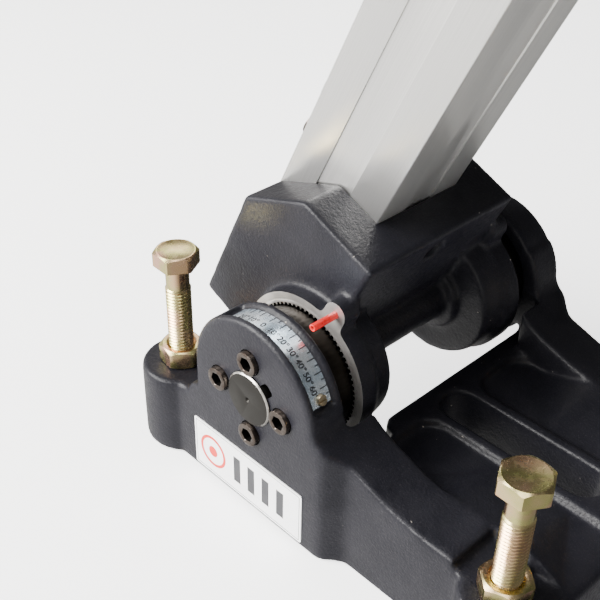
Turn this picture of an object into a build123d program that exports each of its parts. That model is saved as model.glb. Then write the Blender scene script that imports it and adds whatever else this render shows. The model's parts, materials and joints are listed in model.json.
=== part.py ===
from build123d import *
import os
from math import atan2, cos, degrees, pi, radians, sin, sqrt

# Core drill stand: a cast base with two ears, a tilting head on a cross shaft, a square aluminium column
# with a rack, and a crank-driven carriage with a motor collar. Millimetres, +Z up.
# The origin is the middle of the base's footprint on the floor. +X runs to the rear, +Y to the far side.

os.makedirs("parts", exist_ok=True)

# ---------------------------------------------------------------- driving dimensions
lean = radians(25.5)  # the column's lean to the rear, as drawn
pivot_x = -35.5  # tilt axis, forward of the footprint's middle
pivot_z = 76.5  # tilt axis above the floor
half_width = 100.0  # middle plane to an ear's outer face

# base casting, with x from the tilt axis and z from the tilt axis
ear_radius = 43.5
ear_side = 43.3
ear_thick = 22.0
member_inner = 40.0  # side member's inner face, in from the ear's outer face
wall_step = 9.0  # how far the rear wall stands in from the ear's outer face
step_start = 49.0
front_boss_x = -75.0
rear_boss_x = 146.0
boss_in = 16.0  # boss axis, in from the ear's outer face
front_boss_radius = 22.5
rear_boss_radius = 20.0
front_boss_top = -26.0
rear_boss_top = -27.0
boss_fillet = 8.0
slab_top = -26.5
slab_front = 35.6
slab_side = 64.0  # slab's front edge ends here, in from the ear's outer face
slab_shoulder = 57.0  # and the slab is this far in beside the open window
slab_rear = 168.5
ramp_top = -21.5  # pocket's floor rises to this height against the side member
ramp_start = 70.0
ramp_full = (97.0, 138.0)
ramp_end = 160.0
pocket_floor = -30.6
pocket_front = 49.3
pocket_round = 12.0
island_half = 18.3
slot_half = 11.0
slot_front = 45.0
slot_rear = 142.0
far_lug_radius = 42.0
member_start = 46.0  # side members run rearward from here, behind the open window
cross_member_height = 12.0
cross_member_front = -95.0
cross_member_rear = -57.0
shell_wall = 9.0
skin = 12.0
under_width = 28.0  # hollow beside the anchor slot
member_cavity = 62.0
member_cavity_width = 15.0
member_cavity_height = 22.0

# angle scale on the near ear
groove_radius = 40.0
groove_near = 4.4
groove_far = 18.6
flange_radius = 42.8
scale_thick = 0.4
scale_start = -35.0
scale_end = 71.0
scale_screw_angle = 67.0
scale_screw_radius = 3.0
plate_width = 83.0
plate_height = 33.0
plate_middle = (-3.5, -55.8)

# tilt shaft, index discs and their screws
shaft_head_radius = 15.0
shaft_head_proud = 1.5
shaft_radius = 10.0
running_gap = 0.05
screw_circle = 45.0
screw_radius = 4.0
screw_head_radius = 6.5
screw_head_proud = 2.75
screw_head_height = 8.0
tooth_count = 72
disc_tip_radius = 34.7
disc_root_radius = 33.5
disc_far = 42.0
tooth_length = 6.5
ring_tip_radius = 35.0
ring_root_radius = 36.2
ring_radius = 38.0
ring_far = 44.0
key_width = 7.0
key_reach = 20.5

# tilt head, with x square off the column to the rear and y along it, both from the tilt axis
head_half = 55.0
head_front = -80.5
head_rear = 1.0
head_bottom = -35.0
bevel_low = 44.0
bevel_top_x = -48.0
head_top_front = 75.0
head_top_rear = 77.0
hub_face = 36.5  # hub's machined face, in from the ear's outer face
hub_face_radius = 42.0
hub_root_radius = 38.0
hub_root = 62.0
barrel_radius = 14.0
bush_radius = 13.0
bush_length = 22.0
pointer_radius = 1.0
pointer_sleeve_radius = 1.9
lug_height = 48.6
lug_radius = 6.5

# bolt through column and head
through_bolt_height = 62.5
through_bolt_radius = 6.0
through_bolt_head_radius = 9.0
washer_thick = 2.0

# column and rack
column_size = 60.0
column_rear = -20.6
column_start = -29.0
column_end = 870.0
column_wall = 4.0
band_width = 20.0
band_depth = 1.0
channel_gap = 0.2
module = 2.0
rack_start = 108.0
rack_teeth = 116
rack_width = 18.0
rack_body = 7.5
stop_width = 34.0
stop_height = 9.6
stop_proud = 8.0
stop_screw_radius = 2.0
stop_screw_head_radius = 3.5
stop_screw_head_height = 4.0
pinion_teeth = 15

# levelling bolts, M14
bolt_radius = 7.0
bolt_flats = 22.0
bolt_head_height = 9.2
bolt_neck_radius = 6.35
bolt_neck = 14.0
bolt_length = 104.0
bolt_turn = -2.0  # how the head and the jam nut stand, in degrees
front_nut_turn = -8.0
rear_nut_turn = 20.0
nut_height = 11.0
front_bolt_reach = 61.7  # boss top to the underside of the head
rear_bolt_reach = 61.5

# carriage
carriage_start = 262.0
carriage_length = 150.0
carriage_half = 48.0
carriage_front = -128.0
carriage_rear = -2.0
pad_thick = 1.9
pad_gap = 0.1
collar_bore = 30.0
collar_radius = 43.0
collar_length = 76.0
collar_reach = 58.0
pinion_shaft_radius = 8.0
pinion_bush_radius = 11.0
crank_length = 80.0
crank_hub_radius = 19.0
crank_hub_length = 26.0
knob_radius = 12.0

# ---------------------------------------------------------------- worked out
column_front = column_rear - column_size
column_mid = (column_front + column_rear) / 2
rack_back = column_front + band_depth
rack_pitch_x = rack_back - rack_body - 1.25 * module
pinion_radius = module * pinion_teeth / 2
pinion_x = rack_pitch_x - pinion_radius
tooth_pitch = pi * module
pinion_steps = round((carriage_start + carriage_length / 2 - rack_start) / tooth_pitch)
pinion_height = rack_start + pinion_steps * tooth_pitch
carriage_end = carriage_start + carriage_length


def near(depth):
    """Y of a plane at a depth in from the near ear's outer face."""
    return depth - half_width


def side_plane(y):
    """Upright plane at y, seen from the near side: x to the rear, y up, both from the tilt axis."""
    return Plane(origin=(pivot_x, y, pivot_z), x_dir=(1, 0, 0), z_dir=(0, -1, 0))


def lean_plane(y):
    """The side plane turned with the column: x square off it to the rear, y up along it."""
    return Plane(origin=(pivot_x, y, pivot_z), x_dir=(cos(lean), 0, -sin(lean)), z_dir=(0, -1, 0))


def column_plane(height):
    """Plane across the column at a height along it: x to the rear, y to the far side."""
    return Plane(
        origin=(pivot_x + height * sin(lean), 0, pivot_z + height * cos(lean)),
        x_dir=(cos(lean), 0, -sin(lean)),
        z_dir=(sin(lean), 0, cos(lean)),
    )


def face_plane(x, y, height, outward=-1):
    """Plane on the column's front (outward -1) or rear face, centred on y and a height along the column."""
    across = cos(lean) * x + sin(lean) * height
    up = -sin(lean) * x + cos(lean) * height
    return Plane(
        origin=(pivot_x + across, y, pivot_z + up),
        x_dir=(0, 1, 0),
        z_dir=(outward * cos(lean), 0, -outward * sin(lean)),
    )


def floor_plane(height):
    """Level plane at a height from the floor: x from the tilt axis to the rear, y to the far side."""
    return Plane(origin=(pivot_x, 0, height))


def save(part, name):
    """Label a finished piece and write its STEP file."""
    part.label = name
    export_step(part, f"parts/{name}.step")


# ---------------------------------------------------------------- base casting
ear_spring = sqrt(ear_radius**2 - ear_side**2)

with BuildPart() as base_casting:
    # near side member and ear: the silhouette, then the plan outline
    with BuildSketch(side_plane(near(member_inner))):
        with BuildLine():
            Polyline((rear_boss_x, rear_boss_top), (rear_boss_x, -pivot_z), (front_boss_x, -pivot_z))
            fillet_start = (-ear_side - boss_fillet, front_boss_top)
            fillet_end = (-ear_side, front_boss_top + boss_fillet)
            Polyline((front_boss_x, -pivot_z), (front_boss_x, front_boss_top), fillet_start)
            RadiusArc(fillet_start, fillet_end, boss_fillet)
            Line(fillet_end, (-ear_side, ear_spring))
            ThreePointArc((-ear_side, ear_spring), (0, ear_radius), (ear_side, ear_spring))
            Spline(
                (ear_side, ear_spring),
                (50, -4),
                (58, -9),
                (70, -13.5),
                (82, -17.5),
                (95, -20),
                (112, -21.5),
                (123, -22.5),
                (rear_boss_x - 14, rear_boss_top),
                tangents=((0.2, -1), (1, 0)),
            )
            Line((rear_boss_x - 14, rear_boss_top), (rear_boss_x, rear_boss_top))
        make_face()
    extrude(amount=member_inner)
    with BuildSketch(floor_plane(0)):
        with BuildLine():
            FilletPolyline(
                (front_boss_x, near(0)),
                (step_start, near(0)),
                (step_start + wall_step + 2, near(wall_step)),
                (rear_boss_x, near(wall_step)),
                radius=7,
            )
            Polyline(
                (rear_boss_x, near(wall_step)),
                (rear_boss_x, near(member_inner)),
                (front_boss_x, near(member_inner)),
                (front_boss_x, near(0)),
            )
        make_face()
    extrude(amount=pivot_z + ear_radius + 1, mode=Mode.INTERSECT)

    # levelling-bolt bosses
    for boss_x, boss_radius, boss_top in (
        (front_boss_x, front_boss_radius, front_boss_top),
        (rear_boss_x, rear_boss_radius, rear_boss_top),
    ):
        with BuildSketch(floor_plane(0)):
            with Locations((boss_x, near(boss_in))):
                Circle(boss_radius)
        extrude(amount=pivot_z + boss_top)
    # rear slab's near half
    with BuildSketch(floor_plane(0)):
        with BuildLine():
            Polyline(
                (slab_front, 0),
                (slab_front, near(slab_side)),
                (slab_front + 4.5, near(slab_shoulder + 1)),
                (member_start, near(slab_shoulder)),
                (member_start, near(member_inner)),
                (rear_boss_x, near(member_inner)),
                (rear_boss_x, near(boss_in)),
                (slab_rear, near(boss_in)),
                (slab_rear, 0),
                close=True,
            )
        make_face()
    extrude(amount=pivot_z + slab_top)
    # pocket beside the island, open to the rear, where the slab is level with the rear boss
    with BuildSketch(floor_plane(pivot_z + pocket_floor)):
        with BuildLine():
            FilletPolyline(
                (slab_rear + 1, near(member_inner)),
                (pocket_front, near(member_inner)),
                (pocket_front, -island_half),
                (slab_rear + 1, -island_half),
                radius=pocket_round,
            )
            Line((slab_rear + 1, -island_half), (slab_rear + 1, near(member_inner)))
        make_face()
    extrude(amount=skin, mode=Mode.SUBTRACT)
    with BuildSketch(floor_plane(pivot_z + pocket_floor)):
        with Locations(((rear_boss_x + slab_rear + 1) / 2, near(member_inner))):
            Rectangle(slab_rear + 1 - rear_boss_x, 2 * (member_inner - boss_in) + 8)
    extrude(amount=skin, mode=Mode.SUBTRACT)
    # the pocket's floor rises towards the side member, and the rise fades out to the front and the rear
    ramp_foot = pivot_z + pocket_floor - 0.5
    full_rise = ramp_top - pocket_floor
    full_reach = half_width - member_inner - island_half
    for x_low, x_high in ((ramp_start, ramp_full[0]), (ramp_end, ramp_full[1])):
        for x, rise, reach in ((x_low, 1, 3), (x_high, full_rise, full_reach)):
            with BuildSketch(Plane(origin=(pivot_x + x, 0, 0), x_dir=(0, 1, 0), z_dir=(1, 0, 0))):
                Polygon(
                    (near(member_inner - 1), ramp_foot),
                    (near(member_inner) + reach, ramp_foot),
                    (near(member_inner - 1), ramp_foot + 0.5 + rise),
                    align=None,
                )
        loft()
    with BuildSketch(Plane(origin=(pivot_x + ramp_full[0], 0, 0), x_dir=(0, 1, 0), z_dir=(1, 0, 0))):
        Polygon(
            (near(member_inner - 1), ramp_foot),
            (-island_half, ramp_foot),
            (near(member_inner - 1), pivot_z + ramp_top),
            align=None,
        )
    extrude(amount=ramp_full[1] - ramp_full[0])
    # open window inboard of the ear, from the front boss back to where the side member starts
    with BuildSketch(floor_plane(0)):
        with Locations(((front_boss_x + member_start) / 2, near((ear_thick + member_inner + 1) / 2))):
            Rectangle(member_start - front_boss_x, member_inner + 1 - ear_thick)
        with Locations((front_boss_x, near(boss_in))):
            Circle(front_boss_radius, mode=Mode.SUBTRACT)
    extrude(amount=pivot_z + ear_radius, mode=Mode.SUBTRACT)
    # shaft bore with its keyway, and the counterbored holes for the index disc's screws
    with BuildSketch(side_plane(near(ear_thick))):
        Circle(shaft_head_radius)
        with Locations(Location((0, 0, 0), (0, 0, 45))):
            with Locations((key_reach / 2, 0)):
                Rectangle(key_reach, key_width)
    extrude(amount=ear_thick, mode=Mode.SUBTRACT)
    with BuildSketch(side_plane(near(ear_thick))):
        with PolarLocations(screw_circle / 2, 4):
            Circle(screw_radius + 0.4)
    extrude(amount=ear_thick, mode=Mode.SUBTRACT)
    with BuildSketch(side_plane(near(screw_head_height - screw_head_proud))):
        with PolarLocations(screw_circle / 2, 4):
            Circle(screw_head_radius + 0.25)
    extrude(amount=screw_head_height - screw_head_proud, mode=Mode.SUBTRACT)
    # bored for the levelling bolts
    for boss_x in (front_boss_x, rear_boss_x):
        with BuildSketch(floor_plane(0)):
            with Locations((boss_x, near(boss_in))):
                Circle(bolt_radius + running_gap)
        extrude(amount=pivot_z, mode=Mode.SUBTRACT)
    # hollow underneath: beside the anchor slot, and inside the side member
    under_start = member_start + shell_wall
    under_end = slab_rear - shell_wall
    with BuildSketch(floor_plane(0)):
        with Locations(((under_start + under_end) / 2, -(slot_half + shell_wall + under_width / 2))):
            RectangleRounded(under_end - under_start, under_width, 5)
    extrude(amount=pivot_z + pocket_floor - skin, mode=Mode.SUBTRACT)
    with BuildSketch(floor_plane(0)):
        with Locations((member_start + 10 + member_cavity / 2, near((wall_step + member_inner) / 2))):
            RectangleRounded(member_cavity, member_cavity_width, 4)
    extrude(amount=member_cavity_height, mode=Mode.SUBTRACT)
    # the far side is the near side mirrored, but its ear is a round lug held from behind only
    mirror(about=Plane.XZ)
    with BuildSketch(side_plane(half_width - ear_thick)):
        with Locations(((front_boss_x + slab_front) / 2, (ear_radius - pivot_z) / 2)):
            Rectangle(slab_front - front_boss_x, ear_radius + pivot_z + 1)
        Circle(far_lug_radius, mode=Mode.SUBTRACT)
        with Locations((front_boss_x, (front_boss_top - pivot_z) / 2)):
            Rectangle(2 * front_boss_radius, front_boss_top + pivot_z, mode=Mode.SUBTRACT)
    extrude(amount=-ear_thick - 1, mode=Mode.SUBTRACT)
    with BuildSketch(floor_plane(0)):
        with Locations(((front_boss_x - ear_side) / 2, half_width - member_inner / 2)):
            Rectangle(-ear_side - front_boss_x, member_inner + 2)
        with Locations((front_boss_x, half_width - boss_in)):
            Circle(front_boss_radius, mode=Mode.SUBTRACT)
    extrude(amount=pivot_z, mode=Mode.SUBTRACT)
    # on the far side the slab's front edge runs on to the ear
    with BuildSketch(floor_plane(0)):
        with Locations(((slab_front + member_start) / 2, half_width - (slab_side + ear_thick) / 2)):
            Rectangle(member_start - slab_front, slab_side - ear_thick)
    extrude(amount=pivot_z + slab_top)
    # low cross member that ties the two front bosses
    with BuildSketch(floor_plane(0)):
        with Locations(((cross_member_front + cross_member_rear) / 2, 0)):
            Rectangle(cross_member_rear - cross_member_front, 2 * (half_width - boss_in))
        with Locations((front_boss_x, near(boss_in)), (front_boss_x, half_width - boss_in)):
            Circle(bolt_radius + running_gap, mode=Mode.SUBTRACT)
    extrude(amount=cross_member_height)
    # groove for the angle scale, and the lower flange inboard of it
    for radius, start, depth in (
        (groove_radius, groove_far, groove_far - groove_near),
        (flange_radius, ear_thick + 0.01, ear_thick + 0.01 - groove_far),
    ):
        with BuildSketch(side_plane(near(start))):
            with BuildLine():
                first = 90 - scale_end - 3
                last = 90 - scale_start + 3
                inner_arc = CenterArc((0, 0), radius, first, last - first)
                outer_arc = CenterArc((0, 0), ear_radius + 14, first, last - first)
                Line(inner_arc @ 0, outer_arc @ 0)
                Line(inner_arc @ 1, outer_arc @ 1)
            make_face()
        extrude(amount=depth, mode=Mode.SUBTRACT)
    # anchor slot through the island
    with BuildSketch(floor_plane(0)):
        with Locations(((slot_front + slot_rear) / 2, 0)):
            SlotOverall(slot_rear - slot_front, 2 * slot_half)
    extrude(amount=pivot_z, mode=Mode.SUBTRACT)
save(base_casting.part, "base_casting")

# ---------------------------------------------------------------- index discs, their screws, and the shaft
for side, name in ((-1, "near"), (1, "far")):
    with BuildPart() as index_disc:
        with BuildSketch(side_plane(side * (half_width - disc_far))):
            Circle(disc_root_radius)
            with PolarLocations(disc_root_radius, tooth_count):
                tooth = disc_tip_radius - disc_root_radius
                Polygon((-0.3, -0.9), (tooth, -0.35), (tooth, 0.35), (-0.3, 0.9), align=None)
        extrude(amount=-side * tooth_length)
        with BuildSketch(side_plane(side * (half_width - disc_far + tooth_length))):
            Circle(disc_tip_radius)
        extrude(amount=(disc_far - tooth_length - ear_thick) * -side)
        with BuildSketch(side_plane(side * (half_width - disc_far))):
            Circle(shaft_radius + running_gap)
            with PolarLocations(screw_circle / 2, 4):
                Circle(screw_radius + running_gap)
        extrude(amount=(disc_far - ear_thick) * -side, mode=Mode.SUBTRACT)
    save(index_disc.part, f"{name}_index_disc")

for side, name in ((-1, "near"), (1, "far")):
    with BuildPart() as disc_screws:
        # socket cap screws: shank to the disc's far face, head in the ear's counterbore
        with BuildSketch(side_plane(side * (half_width - disc_far + 6))):
            with PolarLocations(screw_circle / 2, 4):
                Circle(screw_radius)
        extrude(amount=(disc_far - 6 - screw_head_height + screw_head_proud) * -side)
        with BuildSketch(side_plane(side * (half_width - screw_head_height + screw_head_proud))):
            with PolarLocations(screw_circle / 2, 4):
                Circle(screw_head_radius)
        extrude(amount=screw_head_height * -side)
        crown = disc_screws.faces().filter_by(Axis.Y).sort_by(Axis.Y)
        chamfer((crown[:4] if side < 0 else crown[-4:]).edges(), 0.6)
        with BuildSketch(side_plane(side * (half_width + screw_head_proud))):
            with PolarLocations(screw_circle / 2, 4):
                RegularPolygon(3.0, 6, major_radius=False, rotation=10)
        extrude(amount=4.5 * side, mode=Mode.SUBTRACT)
    save(disc_screws.part, f"{name}_disc_screws")

# stepped shaft: a keyed head in the near ear, then one diameter through discs and hubs to the far nut
with BuildPart() as tilt_shaft:
    with BuildSketch(side_plane(near(ear_thick))):
        Circle(shaft_head_radius)
    extrude(amount=ear_thick + shaft_head_proud)
    chamfer(tilt_shaft.faces().sort_by(Axis.Y)[0].edges(), 0.8)
    with BuildSketch(side_plane(half_width + 24)):
        Circle(shaft_radius)
    extrude(amount=2 * half_width + 24 - ear_thick)
    chamfer(tilt_shaft.faces().sort_by(Axis.Y)[-1].edges(), 1.2)
    with BuildSketch(side_plane(near(-shaft_head_proud))):
        Circle(1.5)
    extrude(amount=-1.5, taper=40, mode=Mode.SUBTRACT)
    with BuildSketch(side_plane(near(ear_thick))):
        with Locations(Location((0, 0, 0), (0, 0, 45))):
            with Locations((shaft_head_radius - 1, 0)):
                Rectangle(4, key_width)
    extrude(amount=ear_thick - 6, mode=Mode.SUBTRACT)
save(tilt_shaft.part, "tilt_shaft")

with BuildPart() as shaft_key:
    with BuildSketch(side_plane(near(ear_thick))):
        with Locations(Location((0, 0, 0), (0, 0, 45))):
            with Locations(((shaft_head_radius - 3 + key_reach) / 2, 0)):
                Rectangle(key_reach - shaft_head_radius + 3, key_width)
    extrude(amount=ear_thick - 6)
save(shaft_key.part, "shaft_key")

with BuildPart() as shaft_washer:
    with BuildSketch(side_plane(half_width)):
        Circle(15.5)
        Circle(shaft_radius + running_gap, mode=Mode.SUBTRACT)
    extrude(amount=-3)
    chamfer(shaft_washer.faces().sort_by(Axis.Y)[-1].outer_wire().edges(), 0.6)
save(shaft_washer.part, "shaft_washer")

with BuildPart() as shaft_nut:
    with BuildSketch(side_plane(half_width + 3)):
        RegularPolygon(15, 6, major_radius=False)
        Circle(shaft_radius, mode=Mode.SUBTRACT)
    extrude(amount=-16)
save(shaft_nut.part, "shaft_nut")

# ---------------------------------------------------------------- angle scale, its screw and the nameplate
with BuildPart() as scale_strip:
    with BuildSketch(side_plane(near(groove_far - 0.1))):
        with BuildLine():
            under = CenterArc((0, 0), groove_radius, 90 - scale_end, scale_end - scale_start)
            over = CenterArc((0, 0), groove_radius + scale_thick, 90 - scale_end, scale_end - scale_start)
            Line(under @ 0, over @ 0)
            Line(under @ 1, over @ 1)
        make_face()
    extrude(amount=groove_far - groove_near - 0.6)
save(scale_strip.part, "scale_strip")

with BuildPart() as scale_screw:
    angle = radians(scale_screw_angle)
    reach = groove_radius + scale_thick
    groove_middle = (groove_near + groove_far) / 2
    seat = Plane(
        origin=(pivot_x + reach * sin(angle), near(groove_middle), pivot_z + reach * cos(angle)),
        x_dir=(0, 1, 0),
        z_dir=(sin(angle), 0, cos(angle)),
    )
    with BuildSketch(seat):
        Circle(scale_screw_radius)
    extrude(amount=1.9, taper=12)
    with BuildSketch(seat.offset(1.9)):
        Rectangle(2 * scale_screw_radius + 1, 0.8)
    extrude(amount=-0.8, mode=Mode.SUBTRACT)
save(scale_screw.part, "scale_screw")

with BuildPart() as nameplate:
    with BuildSketch(side_plane(near(0))):
        with Locations(plate_middle):
            RectangleRounded(plate_width, plate_height, 2)
    extrude(amount=0.6)
save(nameplate.part, "nameplate")

# ---------------------------------------------------------------- levelling bolts and their jam nuts
boss_spots = {
    "front_near": (front_boss_x, -1, front_boss_top, front_bolt_reach),
    "front_far": (front_boss_x, 1, front_boss_top, front_bolt_reach),
    "rear_near": (rear_boss_x, -1, rear_boss_top, rear_bolt_reach),
    "rear_far": (rear_boss_x, 1, rear_boss_top, rear_bolt_reach),
}
for name, (boss_x, side, boss_top, reach) in boss_spots.items():
    under_head = pivot_z + boss_top + reach
    with BuildPart() as levelling_bolt:
        with BuildSketch(floor_plane(under_head)):
            with Locations((boss_x, side * (half_width - boss_in))):
                RegularPolygon(bolt_flats / 2, 6, major_radius=False, rotation=bolt_turn)
        extrude(amount=bolt_head_height)
        with BuildSketch(floor_plane(under_head)):
            with Locations((boss_x, side * (half_width - boss_in))):
                Circle(bolt_neck_radius)
        extrude(amount=-bolt_neck)
        with BuildSketch(floor_plane(under_head - bolt_neck)):
            with Locations((boss_x, side * (half_width - boss_in))):
                Circle(bolt_radius)
        extrude(amount=-(bolt_length - bolt_neck))
        chamfer(levelling_bolt.faces().sort_by(Axis.Z)[0].edges(), 1.5)
    save(levelling_bolt.part, f"levelling_bolt_{name}")

with BuildPart() as jam_nuts:
    for boss_x, side, boss_top, reach in boss_spots.values():
        nut_turn = front_nut_turn if boss_x < 0 else rear_nut_turn
        with BuildSketch(floor_plane(pivot_z + boss_top)):
            with Locations((boss_x, side * (half_width - boss_in))):
                RegularPolygon(bolt_flats / 2, 6, major_radius=False, rotation=nut_turn)
                Circle(bolt_radius + running_gap, mode=Mode.SUBTRACT)
        extrude(amount=nut_height)
save(jam_nuts.part, "levelling_jam_nuts")

# ---------------------------------------------------------------- tilt head
with BuildPart() as tilt_head:
    with BuildSketch(lean_plane(0)):
        with BuildLine():
            Polyline(
                (head_front, head_bottom),
                (head_front, bevel_low),
                (bevel_top_x, head_top_front),
                (head_rear, head_top_rear),
                (head_rear, 0),
                (-barrel_radius, -barrel_radius),
                (column_rear, head_bottom),
                close=True,
            )
        make_face()
    extrude(amount=head_half, both=True)
    # cross barrel and the two hubs
    with BuildSketch(lean_plane(0)):
        Circle(barrel_radius)
    extrude(amount=half_width - hub_root, both=True)
    for side in (-1, 1):
        with BuildSketch(lean_plane(side * (half_width - hub_face))):
            Circle(hub_face_radius)
        draft = degrees(atan2(hub_face_radius - hub_root_radius, hub_root - hub_face))
        extrude(amount=(hub_root - hub_face) * side, taper=draft)
        # lug beside the near hub's face that carries the pointer, and its twin
        with BuildSketch(lean_plane(side * (half_width - hub_face))):
            with Locations((0, lug_height)):
                Circle(lug_radius)
            with Locations((0, (lug_height + barrel_radius) / 2)):
                Rectangle(2 * lug_radius, lug_height - barrel_radius)
        extrude(amount=12 * side)
        # recess for the toothed ring, then bores for the index disc's rim and the bush
        with BuildSketch(lean_plane(side * (half_width - hub_face))):
            Circle(ring_radius)
        extrude(amount=(ring_far - hub_face) * side, mode=Mode.SUBTRACT)
        with BuildSketch(lean_plane(side * (half_width - ring_far))):
            Circle(bush_radius)
        extrude(amount=bush_length * side, mode=Mode.SUBTRACT)
        with BuildSketch(lean_plane(side * (half_width - hub_face))):
            with Locations((0, lug_height)):
                Circle(pointer_radius)
        extrude(amount=8 * side, mode=Mode.SUBTRACT)
    with BuildSketch(lean_plane(0)):
        Circle(shaft_radius + 0.4)
    extrude(amount=half_width - ring_far, both=True, mode=Mode.SUBTRACT)
    # channel for the column, open at the front, closed by a floor
    with BuildSketch(column_plane(column_start)):
        with Locations((column_mid - 2, 0)):
            Rectangle(column_size + 4 + channel_gap, column_size + 2 * channel_gap)
    extrude(amount=head_top_rear - column_start + 10, mode=Mode.SUBTRACT)
    # threaded hole for the bolt that goes through the column
    with BuildSketch(face_plane(head_rear + 1, 0, through_bolt_height, 1)):
        Circle(through_bolt_radius + running_gap)
    extrude(amount=-(head_rear + 1 - column_rear), mode=Mode.SUBTRACT)
save(tilt_head.part, "tilt_head")

for side, name in ((-1, "near"), (1, "far")):
    with BuildPart() as toothed_ring:
        with BuildSketch(lean_plane(side * (half_width - hub_face))):
            Circle(ring_radius)
            Circle(ring_root_radius, mode=Mode.SUBTRACT)
            with PolarLocations(ring_root_radius, tooth_count):
                tooth = ring_root_radius - ring_tip_radius
                Polygon((0.3, -0.9), (0.3, 0.9), (-tooth, 0.35), (-tooth, -0.35), align=None)
        extrude(amount=(ring_far - hub_face) * side)
    save(toothed_ring.part, f"{name}_toothed_ring")
    with BuildPart() as hub_bush:
        with BuildSketch(lean_plane(side * (half_width - ring_far))):
            Circle(bush_radius)
            Circle(shaft_radius + running_gap, mode=Mode.SUBTRACT)
        extrude(amount=bush_length * side)
    save(hub_bush.part, f"{name}_hub_bush")

with BuildPart() as pointer_pin:
    with BuildSketch(lean_plane(near(hub_face + 8))):
        with Locations((0, lug_height)):
            Circle(pointer_radius)
    extrude(amount=20)
save(pointer_pin.part, "pointer_pin")

with BuildPart() as pointer_sleeve:
    with BuildSketch(lean_plane(near(hub_face))):
        with Locations((0, lug_height)):
            Circle(pointer_sleeve_radius)
            Circle(pointer_radius, mode=Mode.SUBTRACT)
    extrude(amount=hub_face - 21)
save(pointer_sleeve.part, "pointer_sleeve")

# cap screw through the column's front and rear walls into the head's rear wall, on a washer
bolt_end = head_rear - 4
with BuildPart() as column_through_bolt:
    with BuildSketch(face_plane(column_front - washer_thick, 0, through_bolt_height)):
        Circle(through_bolt_head_radius)
    extrude(amount=2 * through_bolt_radius)
    with BuildSketch(face_plane(column_front - washer_thick, 0, through_bolt_height)):
        Circle(through_bolt_radius)
    extrude(amount=column_front - washer_thick - bolt_end)
    bolt_crown = column_front - washer_thick - 2 * through_bolt_radius
    with BuildSketch(face_plane(bolt_crown, 0, through_bolt_height)):
        RegularPolygon(5, 6, major_radius=False)
    extrude(amount=-6, mode=Mode.SUBTRACT)
    chamfer(column_through_bolt.faces().sort_by(Axis.X)[-1].edges(), 1)
save(column_through_bolt.part, "column_through_bolt")

with BuildPart() as column_bolt_washer:
    with BuildSketch(face_plane(column_front + band_depth, 0, through_bolt_height)):
        Circle(band_width / 2)
        Circle(through_bolt_radius + running_gap, mode=Mode.SUBTRACT)
    extrude(amount=washer_thick + band_depth)
save(column_bolt_washer.part, "column_bolt_washer")

# ---------------------------------------------------------------- column, cap, rack and stops
stop_heights = {"lower": 99.0, "upper": 849.0}
with BuildPart() as column:
    with BuildSketch(column_plane(column_start)):
        with Locations((column_mid, 0)):
            RectangleRounded(column_size, column_size, 0.8)
            bore = column_size - 2 * column_wall
            RectangleRounded(bore, bore, 2, mode=Mode.SUBTRACT)
            with PolarLocations(column_size / 2, 4):
                Rectangle(2 * band_depth, band_width, mode=Mode.SUBTRACT)
                # inner rib behind each band keeps the wall's thickness
                with Locations((-column_wall - 0.5, 0)):
                    Rectangle(3, band_width + 4)
    extrude(amount=column_end - column_start)
    for height in stop_heights.values():
        with BuildSketch(face_plane(column_front, 0, height)):
            Circle(stop_screw_radius)
        extrude(amount=-9, mode=Mode.SUBTRACT)
    with BuildSketch(face_plane(column_front, 0, through_bolt_height)):
        Circle(through_bolt_radius + running_gap)
    extrude(amount=-column_size, mode=Mode.SUBTRACT)
save(column.part, "column")

with BuildPart() as column_cap:
    with BuildSketch(column_plane(column_end)):
        with Locations((column_mid, 0)):
            RectangleRounded(column_size, column_size, 3)
    extrude(amount=4)
    chamfer(column_cap.faces().sort_by(Axis.Z)[-1:].edges(), 1.5)
    with BuildSketch(column_plane(column_end)):
        with Locations((column_mid, 0)):
            RectangleRounded(46, 46, 2)
    extrude(amount=-10)
save(column_cap.part, "column_cap")

screw_teeth = [4 + 18 * i for i in range(7)]
with BuildPart() as rack:
    with BuildSketch(lean_plane(0)):
        with BuildLine():
            points = []
            for tooth_index in range(rack_teeth):
                middle = rack_start + tooth_index * tooth_pitch
                root_x = rack_pitch_x + 1.25 * module
                tip_x = rack_pitch_x - module
                points += [(root_x, middle - 2.25), (tip_x, middle - 0.6)]
                points += [(tip_x, middle + 0.6), (root_x, middle + 2.25)]
            Polyline(
                (rack_back, rack_start - tooth_pitch / 2),
                (rack_pitch_x + 1.25 * module, rack_start - tooth_pitch / 2),
                *points,
                (rack_pitch_x + 1.25 * module, points[-1][1] + 1),
                (rack_back, points[-1][1] + 1),
                close=True,
            )
        make_face()
    extrude(amount=rack_width / 2, both=True)
    for tooth_index in screw_teeth:
        height = rack_start + (tooth_index + 0.5) * tooth_pitch
        with BuildSketch(face_plane(rack_back - 12, 0, height)):
            Circle(3.2)
        extrude(amount=-12, mode=Mode.SUBTRACT)
        with BuildSketch(face_plane(rack_back - 12, 0, height)):
            Circle(5.2)
        extrude(amount=-8.5, mode=Mode.SUBTRACT)
save(rack.part, "rack")

with BuildPart() as rack_screws:
    for tooth_index in screw_teeth:
        height = rack_start + (tooth_index + 0.5) * tooth_pitch
        with BuildSketch(face_plane(rack_back - 3.5, 0, height)):
            Circle(4.9)
        extrude(amount=4.5)
        with BuildSketch(face_plane(rack_back - 3.5, 0, height)):
            Circle(3)
        extrude(amount=-3.5)
        with BuildSketch(face_plane(rack_back - 8, 0, height)):
            RegularPolygon(2, 6, major_radius=False)
        extrude(amount=-2.5, mode=Mode.SUBTRACT)
save(rack_screws.part, "rack_screws")

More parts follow.
